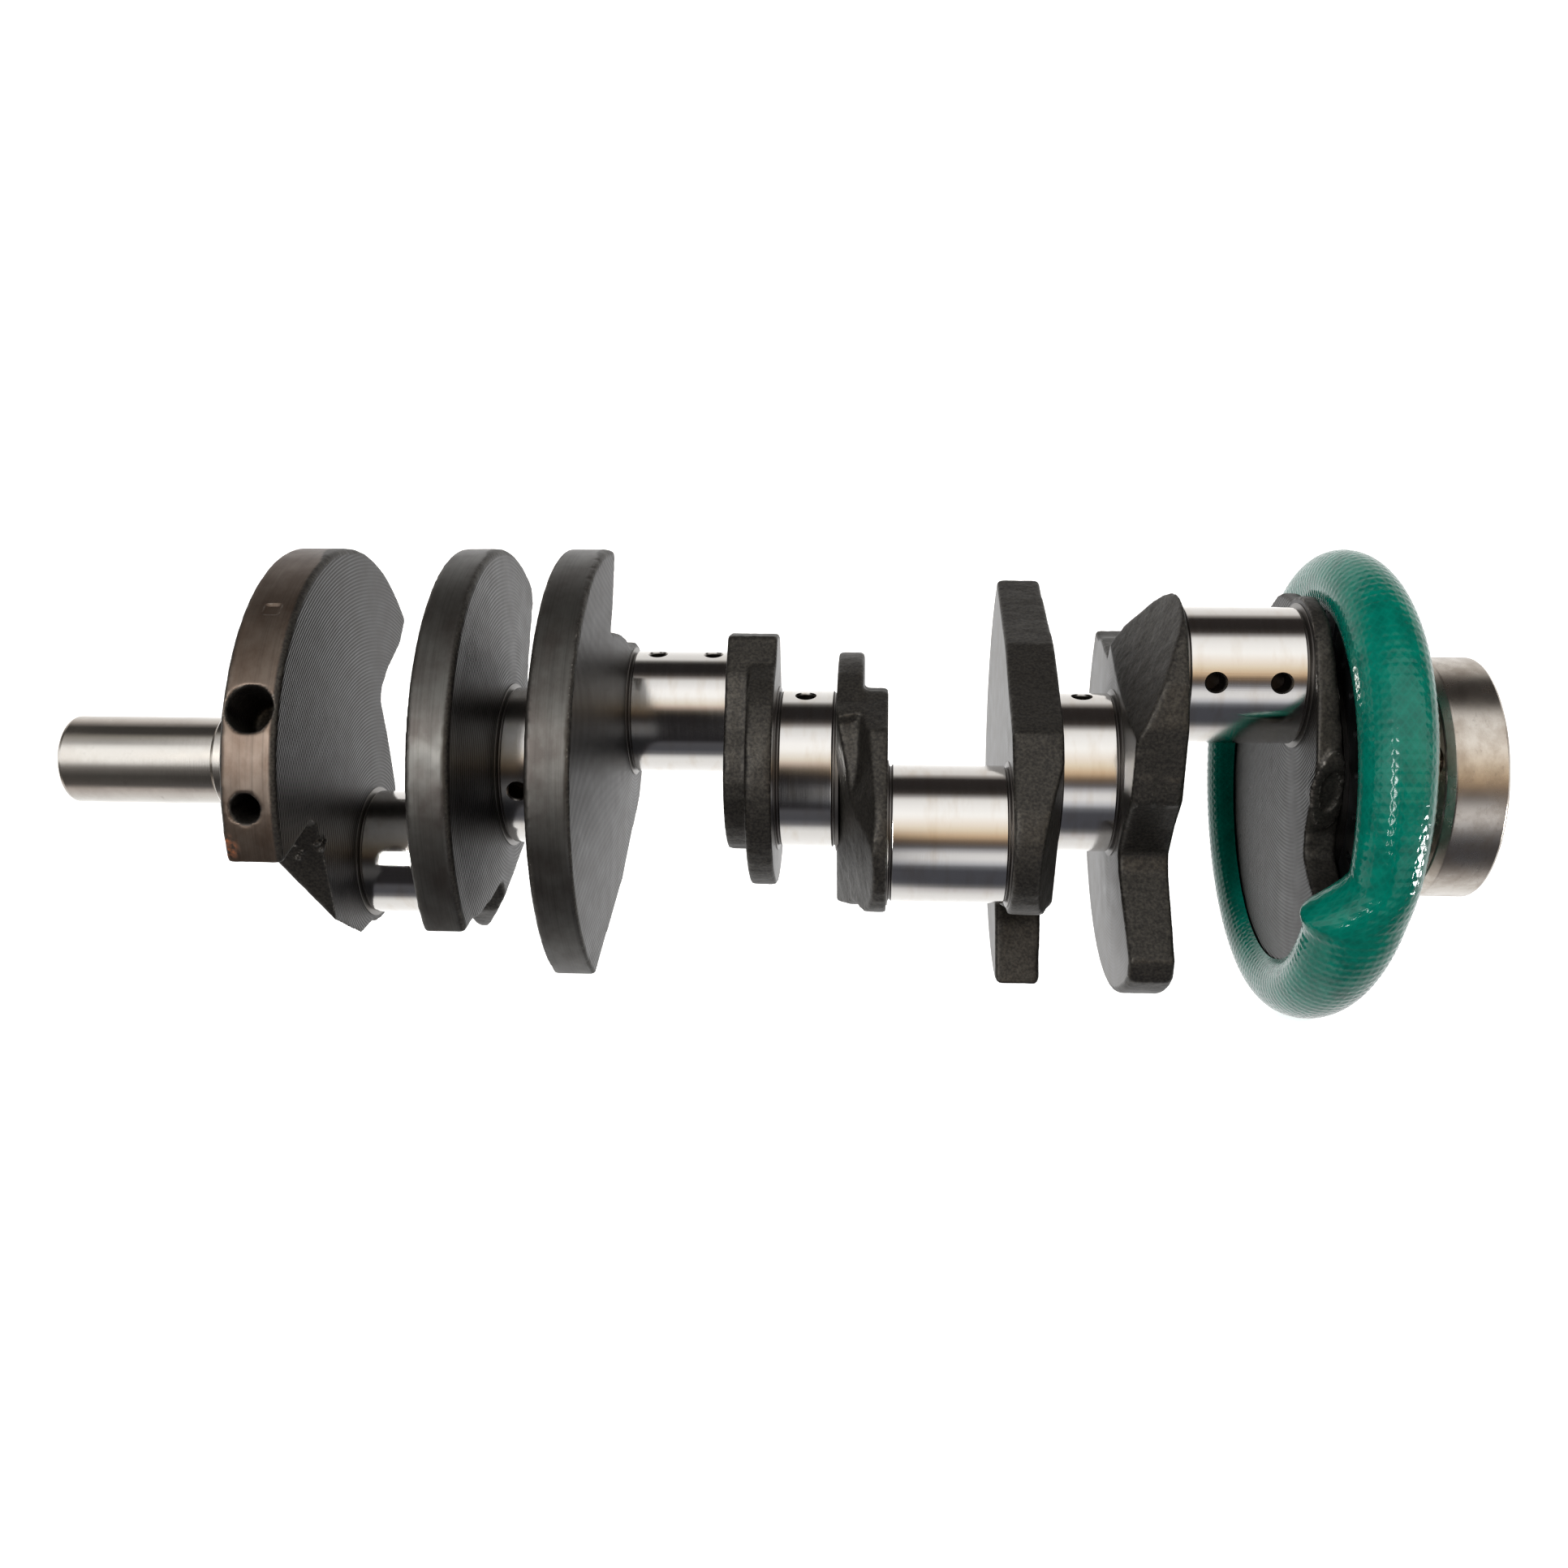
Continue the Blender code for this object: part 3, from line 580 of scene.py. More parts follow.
        base = add_node(tree, "Mix", {"data_type": "RGBA"},
                        {0: machined, 6: skin.outputs[2], 7: face.outputs[2]})
        base = add_node(tree, "Mix", {"data_type": "RGBA"},
                        {0: rim, 6: base.outputs[2], 7: outer.outputs[2]})
        rubbed = add_node(tree, "TexNoise", {"Scale": 1 / (2.2 * MM), "Detail": 4.0}, {"Vector": place})
        patchy = add_node(tree, "MapRange", {"From Min": 0.44, "From Max": 0.62, "To Max": 0.6},
                          {"Value": rubbed})
        sharp = add_node(tree, "MapRange", {"From Min": 0.45, "From Max": 0.95}, {"Value": edge})
        wear = add_node(tree, "Math", {"operation": "MULTIPLY"}, {0: sharp, 1: patchy})
        base = add_node(tree, "Mix", {"data_type": "RGBA", 7: linear(self.bare)},
                        {0: wear, 6: base.outputs[2]})
        scab = add_node(tree, "MapRange", {"From Min": 0.40, "From Max": 0.58}, {"Value": rubbed})
        rust = add_node(tree, "Math", {"operation": "MULTIPLY"}, {0: scab, 1: rusty})
        add_node(tree, "Mix", {"data_type": "RGBA", 7: linear(self.rust)},
                 {0: rust, 6: base.outputs[2]}, {2: shader.inputs["Base Color"]})

        smooth = add_node(tree, "MapRange", {"To Min": self.skin_roughness, "To Max": self.face_roughness},
                          {"Value": machined})
        uneven = add_node(tree, "Math", {"operation": "MULTIPLY_ADD", 1: 0.2}, {0: blotch, 2: smooth})
        settled = add_node(tree, "Math", {"operation": "SUBTRACT", 1: 0.1}, {0: uneven})
        add_node(tree, "Math", {"operation": "MULTIPLY_ADD", 1: 0.3}, {0: rust, 2: settled},
                 {0: shader.inputs["Roughness"]})
        add_node(tree, "Math", {"operation": "MULTIPLY_ADD", 1: -0.8, 2: 0.85}, {0: rust},
                 {0: shader.inputs["Metallic"]})

        tooled = add_node(tree, "Math", {"operation": "MAXIMUM"}, {0: machined, 1: rim})
        cast_share = add_node(tree, "Math", {"operation": "SUBTRACT", 0: 1.0}, {1: tooled})
        flat_share = add_node(tree, "Math", {"operation": "SUBTRACT"}, {0: machined, 1: rim})
        lumps = add_node(tree, "Math", {"operation": "MULTIPLY"}, {0: grit, 1: cast_share})
        cuts = add_node(tree, "Math", {"operation": "MULTIPLY"}, {0: groove, 1: flat_share})
        lines = add_node(tree, "Math", {"operation": "MULTIPLY"}, {0: turned, 1: rim})
        rough_bump = add_node(tree, "Bump", {"Distance": 0.09 * MM}, {"Height": lumps})
        face_bump = add_node(tree, "Bump", {"Distance": self.groove_depth_mm * MM},
                             {"Height": cuts, "Normal": rough_bump})
        add_node(tree, "Bump", {"Distance": 0.02 * MM}, {"Height": lines, "Normal": face_bump},
                 {0: shader.inputs["Normal"]})
        return material


@dataclass(frozen=True)
class PressedSteel:
    """Blanked and blued sheet steel: dark, even, with a soft shine and faint rolling lines."""

    name: str = "pressed_steel"
    colour: str = "#343738"
    light: str = "#535556"
    roughness: float = 0.36

    def material(self) -> bpy.types.Material:
        """Build the material."""
        material, tree, shader = new_material(self.name)
        place = add_node(tree, "TexCoord").outputs["Object"]
        cloud = add_node(tree, "TexNoise", {"Scale": 1 / (12 * MM), "Detail": 5.0}, {"Vector": place})
        rolled = add_node(tree, "Mapping", {"Scale": scale_of(0.8, (3, 1, 6))}, {"Vector": place})
        grain = add_node(tree, "TexNoise", {"Scale": 1.0, "Detail": 3.0}, {"Vector": rolled})
        share = add_node(tree, "MapRange", {"From Min": 0.35, "From Max": 0.7}, {"Value": cloud})
        add_node(tree, "Mix", {"data_type": "RGBA", 6: linear(self.colour), 7: linear(self.light)},
                 {0: share}, {2: shader.inputs["Base Color"]})
        add_node(tree, "MapRange", {"From Min": 0.3, "From Max": 0.7, "To Min": self.roughness - 0.06,
                                    "To Max": self.roughness + 0.1}, {"Value": cloud},
                 {0: shader.inputs["Roughness"]})
        add_node(tree, "Bump", {"Strength": 0.6, "Distance": 0.012 * MM}, {"Height": grain},
                 {0: shader.inputs["Normal"]})
        shader.inputs["Metallic"].default_value = 0.95
        return material


@dataclass(frozen=True)
class BraidedVinyl:
    """Soft glossy PVC hose over a yarn braid, whose weave shows through as slanting ridges.

    The UV map runs once round the ring in U and once round the hose's section in V.
    """

    name: str = "pvc_hose_green"
    colour: str = "#007563"
    deep: str = "#005d4f"
    light: str = "#0b8976"
    ring_turns: int = 130
    section_turns: int = 30
    roughness: float = 0.12

    def material(self) -> bpy.types.Material:
        """Build the material."""
        material, tree, shader = new_material(self.name)
        place = add_node(tree, "TexCoord").outputs["Object"]
        split = add_node(tree, "SeparateXYZ", {}, {0: add_node(tree, "UVMap")})
        across = add_node(tree, "Math", {"operation": "MULTIPLY", 1: 2 * math.pi * self.section_turns},
                          {0: split.outputs[1]})
        right = add_node(tree, "Math", {"operation": "MULTIPLY_ADD", 1: 2 * math.pi * self.ring_turns},
                         {0: split.outputs[0], 2: across})
        left = add_node(tree, "Math", {"operation": "MULTIPLY_ADD", 1: -2 * math.pi * self.ring_turns},
                        {0: split.outputs[0], 2: across})
        first = add_node(tree, "Math", {"operation": "SINE"}, {0: right})
        second = add_node(tree, "Math", {"operation": "SINE"}, {0: left})
        weave = add_node(tree, "Math", {"operation": "MAXIMUM"}, {0: first, 1: second})
        patch = add_node(tree, "TexNoise", {"Scale": 1 / (26 * MM), "Detail": 3.0}, {"Vector": place})
        shown = add_node(tree, "MapRange", {"From Min": 0.35, "From Max": 0.62, "To Min": 0.4},
                         {"Value": patch})
        height = add_node(tree, "Math", {"operation": "MULTIPLY"}, {0: weave, 1: shown})
        soft = add_node(tree, "TexNoise", {"Scale": 1 / (7 * MM), "Detail": 3.0}, {"Vector": place})
        share = add_node(tree, "MapRange", {"From Min": 0.3, "From Max": 0.7}, {"Value": soft})
        body = add_node(tree, "Mix", {"data_type": "RGBA", 6: linear(self.colour), 7: linear(self.deep)},
                        {0: share})
        yarn = add_node(tree, "MapRange", {"From Min": 0.2, "From Max": 1.0, "To Max": 0.15},
                        {"Value": weave})
        add_node(tree, "Mix", {"data_type": "RGBA", 7: linear(self.light)}, {0: yarn, 6: body.outputs[2]},
                 {2: shader.inputs["Base Color"]})
        add_node(tree, "MapRange", {"From Min": 0.3, "From Max": 0.75, "To Min": self.roughness,
                                    "To Max": self.roughness + 0.1}, {"Value": soft},
                 {0: shader.inputs["Roughness"]})
        add_node(tree, "Bump", {"Strength": 0.8, "Distance": 0.05 * MM}, {"Height": height},
                 {0: shader.inputs["Normal"]})
        shader.inputs["IOR"].default_value = 1.45
        shader.inputs["Specular IOR Level"].default_value = 0.32
        return material


@dataclass(frozen=True)
class StudioPaper:
    """Matt white paper that the shaft stands on."""

    name: str = "white_paper"
    colour: str = "#f4f4f2"
    glow: float = 0.85

    def material(self) -> bpy.types.Material:
        """Build the material."""
        material, _, shader = new_material(self.name)
        shader.inputs["Base Color"].default_value = linear(self.colour)
        shader.inputs["Roughness"].default_value = 0.9
        shader.inputs["Emission Color"].default_value = linear("#ffffff")
        shader.inputs["Emission Strength"].default_value = self.glow
        return material


# ---------------------------------------------------------------------------------------------
# The shaft's own pieces
# ---------------------------------------------------------------------------------------------

@dataclass
class Journals:
    """Main journals and crankpins: ground bearing surfaces between a collar and a groove."""

    main_radius: float = 32.5
    pin_radius: float = 26.67
    main_half: float = 12.35
    pin_half: float = 23.35
    collar_height: float = 0.5
    collar_step: float = 1.6
    fillet_width: float = 2.0
    groove_depth: float = 0.8
    oil_radius: float = 3.6
    oil_depth: float = 12.0
    oil_lip: float = 0.8
    pin_hole_offset: float = 12.2

    def profile(self, middle: float, half: float, radius: float) -> list[tuple[float, float]]:
        """Profile of one journal between two web faces.

        Args:
            middle: X of the journal's centre in millimetres.
            half: half of the distance between the web faces.
            radius: the journal's radius.

        Returns:
            (x, radius) points in millimetres.
        """
        outer = radius + self.collar_step
        low = radius - self.groove_depth
        half_shape = [(half + 0.9, outer), (half - self.collar_height + 0.15, outer),
                      (half - self.collar_height, outer - 0.15), (half - self.collar_height, radius + 0.9),
                      (half - self.collar_height - 0.12, radius + 0.3),
                      (half - self.collar_height - 0.25, radius - 0.3),
                      (half - self.collar_height - 0.5, low), (half - self.collar_height - 1.0, low),
                      (half - self.collar_height - 1.25, radius - 0.35),
                      (half - self.collar_height - 1.4, radius - 0.1),
                      (half - self.collar_height - 1.6, radius)]
        left = [(middle - along, size) for along, size in half_shape]
        right = [(middle + along, size) for along, size in reversed(half_shape)]
        return left + right

    def make(self, name: str, middle: float, half: float, radius: float, centre: Vector,
             holes: list[tuple[float, float]], finish: bpy.types.Material) -> None:
        """Turn one journal and drill its oil holes.

        Args:
            name: the CAD node's name.
            middle: X of the journal's centre in millimetres.
            half: half of the distance between the web faces.
            radius: the journal's radius.
            centre: a point on its axis.
            holes: (offset in millimetres, clock angle) of each oil hole.
            finish: the journal's material.
        """
        item = turn_piece(f"{name}_ground", self.profile(middle, half, radius), centre)
        for offset, clock in holes:
            outward = clock_direction(clock)
            surface = Vector(((middle + offset) * MM, centre.y, centre.z)) + outward * radius * MM
            combine(item, make_countersink(surface, outward, self.oil_radius, self.oil_lip))
            combine(item, make_drill(surface, outward, self.oil_radius, self.oil_depth))
        points = read_points(item.data)
        from_axis = np.hypot(points[:, 1] - centre.y, points[:, 2] - centre.z) / MM
        # Mark the fillets (0.8) and the oil holes' insides (1.0) for the material to darken: painted shade
        # in the holes and in the creases by the web faces, on fillets that are also unpolished.
        fillet = np.abs(points[:, 0] / MM - middle) > half - self.fillet_width
        inside = from_axis < radius - 0.3
        write_attribute(item.data, "unpolished_and_painted_shade", np.where(fillet, 0.8, np.where(inside, 1.0, 0.0)))
        shade(item)
        hand_in(item, (name,), finish)

    def build(self, finish: bpy.types.Material) -> None:
        """Make all nine journals.

        Args:
            finish: the ground steel.
        """
        oil = {2: [(-3.8, -19.3)], 3: [(-0.9, 66.0)], 4: [(-1.0, 70.5)]}
        axis = Vector((0, 0, 0))
        for number in range(1, 6):
            middle = (number - 3) * BORE_SPACING_MM
            self.make(f"main_journal_{number}", middle, self.main_half, self.main_radius, axis,
                      oil.get(number, []), finish)
        pin_oil_clock = (CLOCK + 112.3, CLOCK + 10.6, CLOCK - 169.4, CLOCK - 67.7)
        for number in range(1, 5):
            centre = clock_direction(PIN_CLOCKS[number - 1]) * THROW_MM * MM
            middle = (number - 2.5) * BORE_SPACING_MM
            clock = pin_oil_clock[number - 1]
            holes = [(-self.pin_hole_offset, clock), (self.pin_hole_offset, clock)]
            self.make(f"crankpin_{number}", middle, self.pin_half, self.pin_radius, centre, holes, finish)


@dataclass
class Snout:
    """Damper seat at the front of the shaft, with its bolt hole and the larger seat behind it."""

    radius: float = 18.45
    start: float = -314.7
    end: float = -247.0
    bolt_radius: float = 7.2
    bolt_depth: float = 42.0
    seat_radius: float = 21.0
    seat_end: float = -235.5

    def build(self, finish: bpy.types.Material) -> None:
        """Turn both seats.

        Args:
            finish: the turned iron.
        """
        floor = self.start + self.bolt_depth
        profile = [(floor, self.bolt_radius), (self.start + 1.2, self.bolt_radius),
                   (self.start, self.bolt_radius + 1.2), (self.start, self.radius - 3.0),
                   (self.start + 0.15, self.radius - 2.5), (self.start + 0.8, self.radius - 1.0),
                   (self.start + 1.6, self.radius - 0.3), (self.start + 2.6, self.radius),
                   (self.end - 0.9, self.radius), (self.end - 0.5, self.radius - 0.5),
                   (self.end + 0.5, self.radius - 0.5)]
        snout = turn_piece("snout_turned", profile)
        shade(snout)
        hand_in(snout, ("snout",), finish)
        seat_profile = [(self.end, self.radius - 1.0), (self.end, self.seat_radius - 1.4),
                        (self.end + 0.3, self.seat_radius - 0.9), (self.end + 1.3, self.seat_radius),
                        (self.seat_end - 2.2, self.seat_radius),
                        (self.seat_end - 1.0, self.seat_radius + 0.6),
                        (self.seat_end - 0.3, self.seat_radius + 2.0),
                        (self.seat_end, self.seat_radius + 4.0),
                        (self.seat_end + 0.5, self.seat_radius + 4.0)]
        seat = turn_piece("front_seat_turned", seat_profile)
        shade(seat)
        hand_in(seat, ("front_seat",), finish)


@dataclass
class Flange:
    """Flywheel flange with its bolt holes and pilot bore, and the plug of the oil gallery."""

    radius: float = 48.4
    start: float = 241.7
    end: float = 265.0
    neck_start: float = 235.3
    neck_radius: float = 36.0
    bolt_circle: float = 39.5
    bolt_radius: float = 4.9
    bolt_count: int = 6
    bolt_clock: float = 9.0
    pilot_radius: float = 21.65
    pilot_depth: float = 10.0
    gallery_radius: float = 13.5
    gallery_depth: float = 24.0
    plug_length: float = 9.0
    plug_wall: float = 1.5

    def build(self, finish: bpy.types.Material, plug_finish: bpy.types.Material) -> None:
        """Turn and drill the flange, then press in the plug.

        Args:
            finish: the turned steel.
            plug_finish: the plug's pressed steel.
        """
        pilot_floor = self.end - self.pilot_depth
        gallery_floor = self.end - self.gallery_depth
        profile = [(gallery_floor, self.gallery_radius), (pilot_floor - 0.8, self.gallery_radius),
                   (pilot_floor, self.gallery_radius + 0.8), (pilot_floor, self.pilot_radius),
                   (self.end - 1.2, self.pilot_radius), (self.end, self.pilot_radius + 1.2),
                   (self.end, self.radius - 1.1), (self.end - 0.3, self.radius - 0.5),
                   (self.end - 1.1, self.radius), (self.start + 4.0, self.radius),
                   (self.start + 3.4, self.radius - 0.15), (self.start + 0.5, self.radius - 1.7),
                   (self.start, self.radius - 2.4), (self.start, self.neck_radius + 1.5),
                   (self.start - 0.4, self.neck_radius + 0.4), (self.start - 1.2, self.neck_radius),
                   (self.neck_start - 0.4, self.neck_radius)]
        flange = turn_piece("rear_flange_turned", profile)
        for index in range(self.bolt_count):
            outward = clock_direction(self.bolt_clock + index * 360 / self.bolt_count)
            place = outward * self.bolt_circle * MM
            back = Vector((self.end * MM, place.y, place.z))
            axis = Vector((1, 0, 0))
            combine(flange, make_drill(back, axis, self.bolt_radius, self.end - self.start + 4))
            combine(flange, make_countersink(back, axis, self.bolt_radius, 0.9))
        furthest = read_points(flange.data)[:, 0].max() / MM
        if furthest > self.end + MERGE_MM:
            raise ValueError(f"a bolt hole stands out to {furthest:.2f} mm")
        shade(flange)
        hand_in(flange, ("rear_flange",), finish)
        radius = self.gallery_radius
        start = gallery_floor + 0.3
        end = start + self.plug_length
        inner = radius - self.plug_wall
        cup = [(start, radius - 1.2), (start + 0.4, radius - 0.4), (start + 1.2, radius),
               (end - 0.3, radius), (end, radius - 0.3), (end, inner + 0.3), (end - 0.4, inner),
               (start + self.plug_wall + 1.0, inner), (start + self.plug_wall + 0.3, inner - 0.4),
               (start + self.plug_wall, inner - 1.2), (start + self.plug_wall, 3.0),
               (start + self.plug_wall + 0.2, 2.2)]
        plug = turn_piece("gallery_plug_pressed", cup, segments=96)
        shade(plug)
        hand_in(plug, ("gallery_plug",), plug_finish)


@dataclass
class ToneRing:
    """Slotted ring that the crank sensor reads, and the shoulder of the shaft that it sits on."""

    radius: float = 77.0
    start: float = 204.5
    thickness: float = 4.0
    seat_radius: float = 52.0
    seat_start: float = 203.0
    seat_end: float = 211.2
    slot_count: int = 24
    slot_width: float = 3.6
    slot_length: float = 12.0
    slot_centre: float = 64.0
    first_slot: float = 60.0

    def slot_cutter(self) -> bpy.types.Object:
        """One long round-ended cutter at clock angle 0, standing through the ring."""
        middle = self.start + self.thickness / 2
        half_run = (self.slot_length - self.slot_width) / 2
        bpy.ops.object.select_all(action="DESELECT")
        bpy.ops.mesh.primitive_cylinder_add(
            vertices=24, radius=self.slot_width / 2 * MM, depth=self.thickness * 3 * MM,
            location=(middle * MM, -self.slot_centre * MM, 0), rotation=(0, math.pi / 2, 0))
        cutter = finish_place("slot")
        points = read_points(cutter.data)
        side = points[:, 1] + self.slot_centre * MM
        bpy.ops.object.mode_set(mode="EDIT")
        bpy.ops.mesh.select_all(action="DESELECT")
        bpy.ops.object.mode_set(mode="OBJECT")
        for towards in (-1, 1):
            cutter.data.vertices.foreach_set("select", side * towards > 1e-6)
            bpy.ops.object.mode_set(mode="EDIT")
            bpy.ops.transform.translate(value=(0, towards * half_run * MM, 0))
            bpy.ops.mesh.select_all(action="DESELECT")
            bpy.ops.object.mode_set(mode="OBJECT")
        return cutter

    def build(self, finish: bpy.types.Material, seat_finish: bpy.types.Material) -> None:
        """Turn the ring, cut its slots, and turn the shoulder.

        Args:
            finish: the ring's pressed steel.
            seat_finish: the shoulder's casting iron.
        """
        low, high = self.start, self.start + self.thickness
        inner = self.seat_radius + 0.05
        edge = 0.35
        profile = [(low, inner + edge), (low, self.radius - edge), (low + edge, self.radius),
                   (high - edge, self.radius), (high, self.radius - edge), (high, inner + edge),
                   (high - edge, inner), (low + edge, inner)]
        ring = turn_piece("tone_ring_slotted", profile, ring=True)
        model = self.slot_cutter()
        cutters = []
        for index in range(self.slot_count):
            copy = bpy.data.objects.new(f"slot_{index}", model.data.copy())
            bpy.context.scene.collection.objects.link(copy)
            clock = self.first_slot + index * 360 / self.slot_count
            copy.data.transform(Matrix.Rotation(-math.radians(clock), 4, "X"))
            cutters.append(copy)
        bpy.data.objects.remove(model, do_unlink=True)
        bpy.ops.object.select_all(action="DESELECT")
        for copy in cutters:
            copy.select_set(True)
        bpy.context.view_layer.objects.active = cutters[0]
        bpy.ops.object.join()
        combine(ring, cutters[0])
        shade(ring)
        hand_in(ring, ("tone_ring",), finish)
        seat_profile = [(self.seat_start - 0.4, self.seat_radius), (low + 3.0, self.seat_radius),
                        (self.seat_end - 1.2, self.seat_radius),
                        (self.seat_end - 0.2, self.seat_radius - 1.0),
                        (self.seat_end, self.seat_radius - 2.0), (self.seat_end, 36.0),
                        (self.seat_end + 0.2, 35.0)]
        seat = turn_piece("ring_seat_turned", seat_profile)
        for name, value in (("machined", 1.0), ("rim", 0.0), ("edge", 0.0), ("rust", 0.0)):
            write_attribute(seat.data, name, np.full(len(seat.data.vertices), value))
        points = read_points(seat.data)
        write_attribute(seat.data, "ring", np.hypot(points[:, 1], points[:, 2]) / MM)
        shade(seat)
        hand_in(seat, ("ring_seat",), seat_finish)


class Surface(Enum):
    """How a web's outer rim was left."""

    TURNED = "turned"
    CAST = "cast"


class MarkShape(Enum):
    """Outline of a mark cast into a side wall."""

    SPOT = "spot"
    BAR = "bar"
    LOOP = "loop"


@dataclass(frozen=True)
class Mark:
    """A plain mark on a web's side wall, in millimetres: along is towards the crankpin."""

    x: float
    along: float
    across: float
    half_x: float
    half_along: float
    height: float = 0.7
    depth: float = 6.0
    shape: MarkShape = MarkShape.SPOT


@dataclass
class Web:
    """One web of the shaft: its facts for finishing the casting."""

    number: int
    rim_radius: float = 89.8
    rim_surface: Surface = Surface.CAST
    voxel: float = 0.85
    grit_height: float = 0.2
    grit_size: float = 2.4
    lump_height: float = 0.35
    lump_size: float = 7.0
    rust_core: float = 2.5
    rust_reach: float = 7.0
    strip: float = 0.0
    cast_above: float = 180.0
    rust_clock: float | None = None
    marks: tuple[Mark, ...] = ()

    @property
    def name(self) -> str:
        """The CAD node's name."""
        return f"web_{self.number}"

    @property
    def pin_clock(self) -> float:
        """Clock angle of the crankpin beside this web."""
        return PIN_CLOCKS[(self.number + 1) // 2 - 1]

    @property
    def pin_side(self) -> int:
        """-1 where the pin is on the -X side of this web, 1 where it is on the +X side."""
        return -1 if self.number % 2 == 0 else 1

    def copy_casting(self) -> bpy.types.Object:
        """Take a copy of the CAD web with its doubled vertices merged."""
        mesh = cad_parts[self.name].data.copy()
        item = bpy.data.objects.new(f"{self.name}_casting", mesh)
        bpy.context.scene.collection.objects.link(item)
        mesh.attributes.active_color_index = -1 if mesh.color_attributes else 0
        tidy_mesh(item)
        return item

    def skin(self, item: bpy.types.Object) -> None:
        """Remesh the web finely, true its rim, round its cast edges and give it its grit.

        Args:
            item: the copy of the CAD web.
        """
        apply_modifier(item, "REMESH", mode="VOXEL", voxel_size=self.voxel * MM, adaptivity=0.0)
        mesh = item.data
        points = read_points(mesh)
        normals = read_points(mesh, "normal")
        distance = np.hypot(points[:, 1], points[:, 2]) / MM
        radial = (points[:, 1] * normals[:, 1] + points[:, 2] * normals[:, 2]) / (distance * MM)
        on_rim = (np.abs(distance - self.rim_radius) < 0.3) & (radial > 0.85)
        share = np.where(on_rim, self.rim_radius / distance, 1.0)
        points[:, 1:] *= share[:, None]
        write_points(mesh, points)

        flat = smooth_step(0.972, 0.992, np.abs(normals[:, 0]))
        rim = smooth_step(0.90, 0.98, radial) * (np.abs(distance - self.rim_radius) < 0.6)
        if self.rim_surface is Surface.CAST:
            rim = rim * 0.0
        clock = np.degrees(np.arctan2(points[:, 2], -points[:, 1]))
        rear = points[:, 0].max() / MM
        width = self.strip * (1 + 3.1 * smooth_step(60, 75, clock))
        rim = rim * (1 - smooth_step(-0.6, 0.0, points[:, 0] / MM - (rear - width)) * (self.strip > 0))
        rim = rim * (1 - smooth_step(0, 6, clock - self.cast_above))
        turned = np.maximum(flat, rim)
        write_group(item, "cast", 1 - turned)
        write_group(item, "turned", np.full(len(points), 0.35))
        apply_modifier(item, "SMOOTH", factor=0.5, iterations=14, vertex_group="cast")
        apply_modifier(item, "SMOOTH", factor=0.5, iterations=2)
        bake_noise(item, self.lump_size, self.lump_height, "cast")
        bake_noise(item, self.grit_size, self.grit_height, "cast")
        for mark in self.marks:
            self.raise_mark(mesh, mark)
        self.mark(item, rim)

    def raise_mark(self, mesh: bpy.types.Mesh, mark: Mark) -> None:
        """Raise one cast mark out of the skin, or sink it where its height is below zero.

        Args:
            mesh: the web's mesh.
            mark: the mark to raise.
        """
        points = read_points(mesh)
        normals = read_points(mesh, "normal")
        towards = clock_direction(self.pin_clock)
        across = clock_direction(self.pin_clock + 90)
        along = points @ np.array(towards) / MM
        side = points @ np.array(across) / MM
        reach = np.hypot((points[:, 0] / MM - mark.x) / mark.half_x, (along - mark.along) / mark.half_along)
        if mark.shape is MarkShape.BAR:
            reach = np.maximum(np.abs(points[:, 0] / MM - mark.x) / mark.half_x,
                               np.abs(along - mark.along) / mark.half_along)
        if mark.shape is MarkShape.LOOP:
            reach = np.abs(reach - 1) * 3.0
        near = np.abs(side - mark.across) < mark.depth
        lift = (1 - smooth_step(0.75, 1.25, reach)) * near * mark.height
        write_points(mesh, points + normals * (lift * MM)[:, None])

    def mark(self, item: bpy.types.Object, rim: np.ndarray) -> None:
        """Store what the material needs: where the surface was turned, and where it is worn.

        Args:
            item: the finished web.
            rim: how far each vertex belongs to the turned rim, from 0 to 1.
        """
        mesh = item.data
        points = read_points(mesh)
        normals = read_points(mesh, "normal")
        flat = smooth_step(0.965, 0.990, np.abs(normals[:, 0]))
        pin = clock_direction(self.pin_clock) * THROW_MM * MM
        from_pin = np.hypot(points[:, 1] - pin.y, points[:, 2] - pin.z) / MM
        from_axis = np.hypot(points[:, 1], points[:, 2]) / MM
        faces_pin = normals[:, 0] * self.pin_side > 0
        stands_out = convexity(mesh) / self.voxel
        write_attribute(mesh, "machined", np.maximum(flat, rim))
        write_attribute(mesh, "rim", rim)
        write_attribute(mesh, "ring", np.where(faces_pin, from_pin, from_axis))
        write_attribute(mesh, "edge", np.clip(stands_out * 5.0, 0, 1))
        rust = np.zeros(len(points))
        if self.rust_clock is not None:
            spot = clock_direction(self.rust_clock) * self.rim_radius * MM
            far = np.hypot(points[:, 1] - spot.y, points[:, 2] - spot.z) / MM
            from_front = points[:, 0] / MM - points[:, 0].min() / MM
            rust = 1 - smooth_step(self.rust_core, self.rust_reach, np.hypot(far, from_front))
        write_attribute(mesh, "rust", rust)

    def build(self, finish: bpy.types.Material) -> None:
        """Make the finished web from the CAD one.

        Args:
            finish: the casting iron.
        """
        item = self.copy_casting()
        self.skin(item)
        shade(item, math.radians(80))
        hand_in(item, (self.name,), finish)


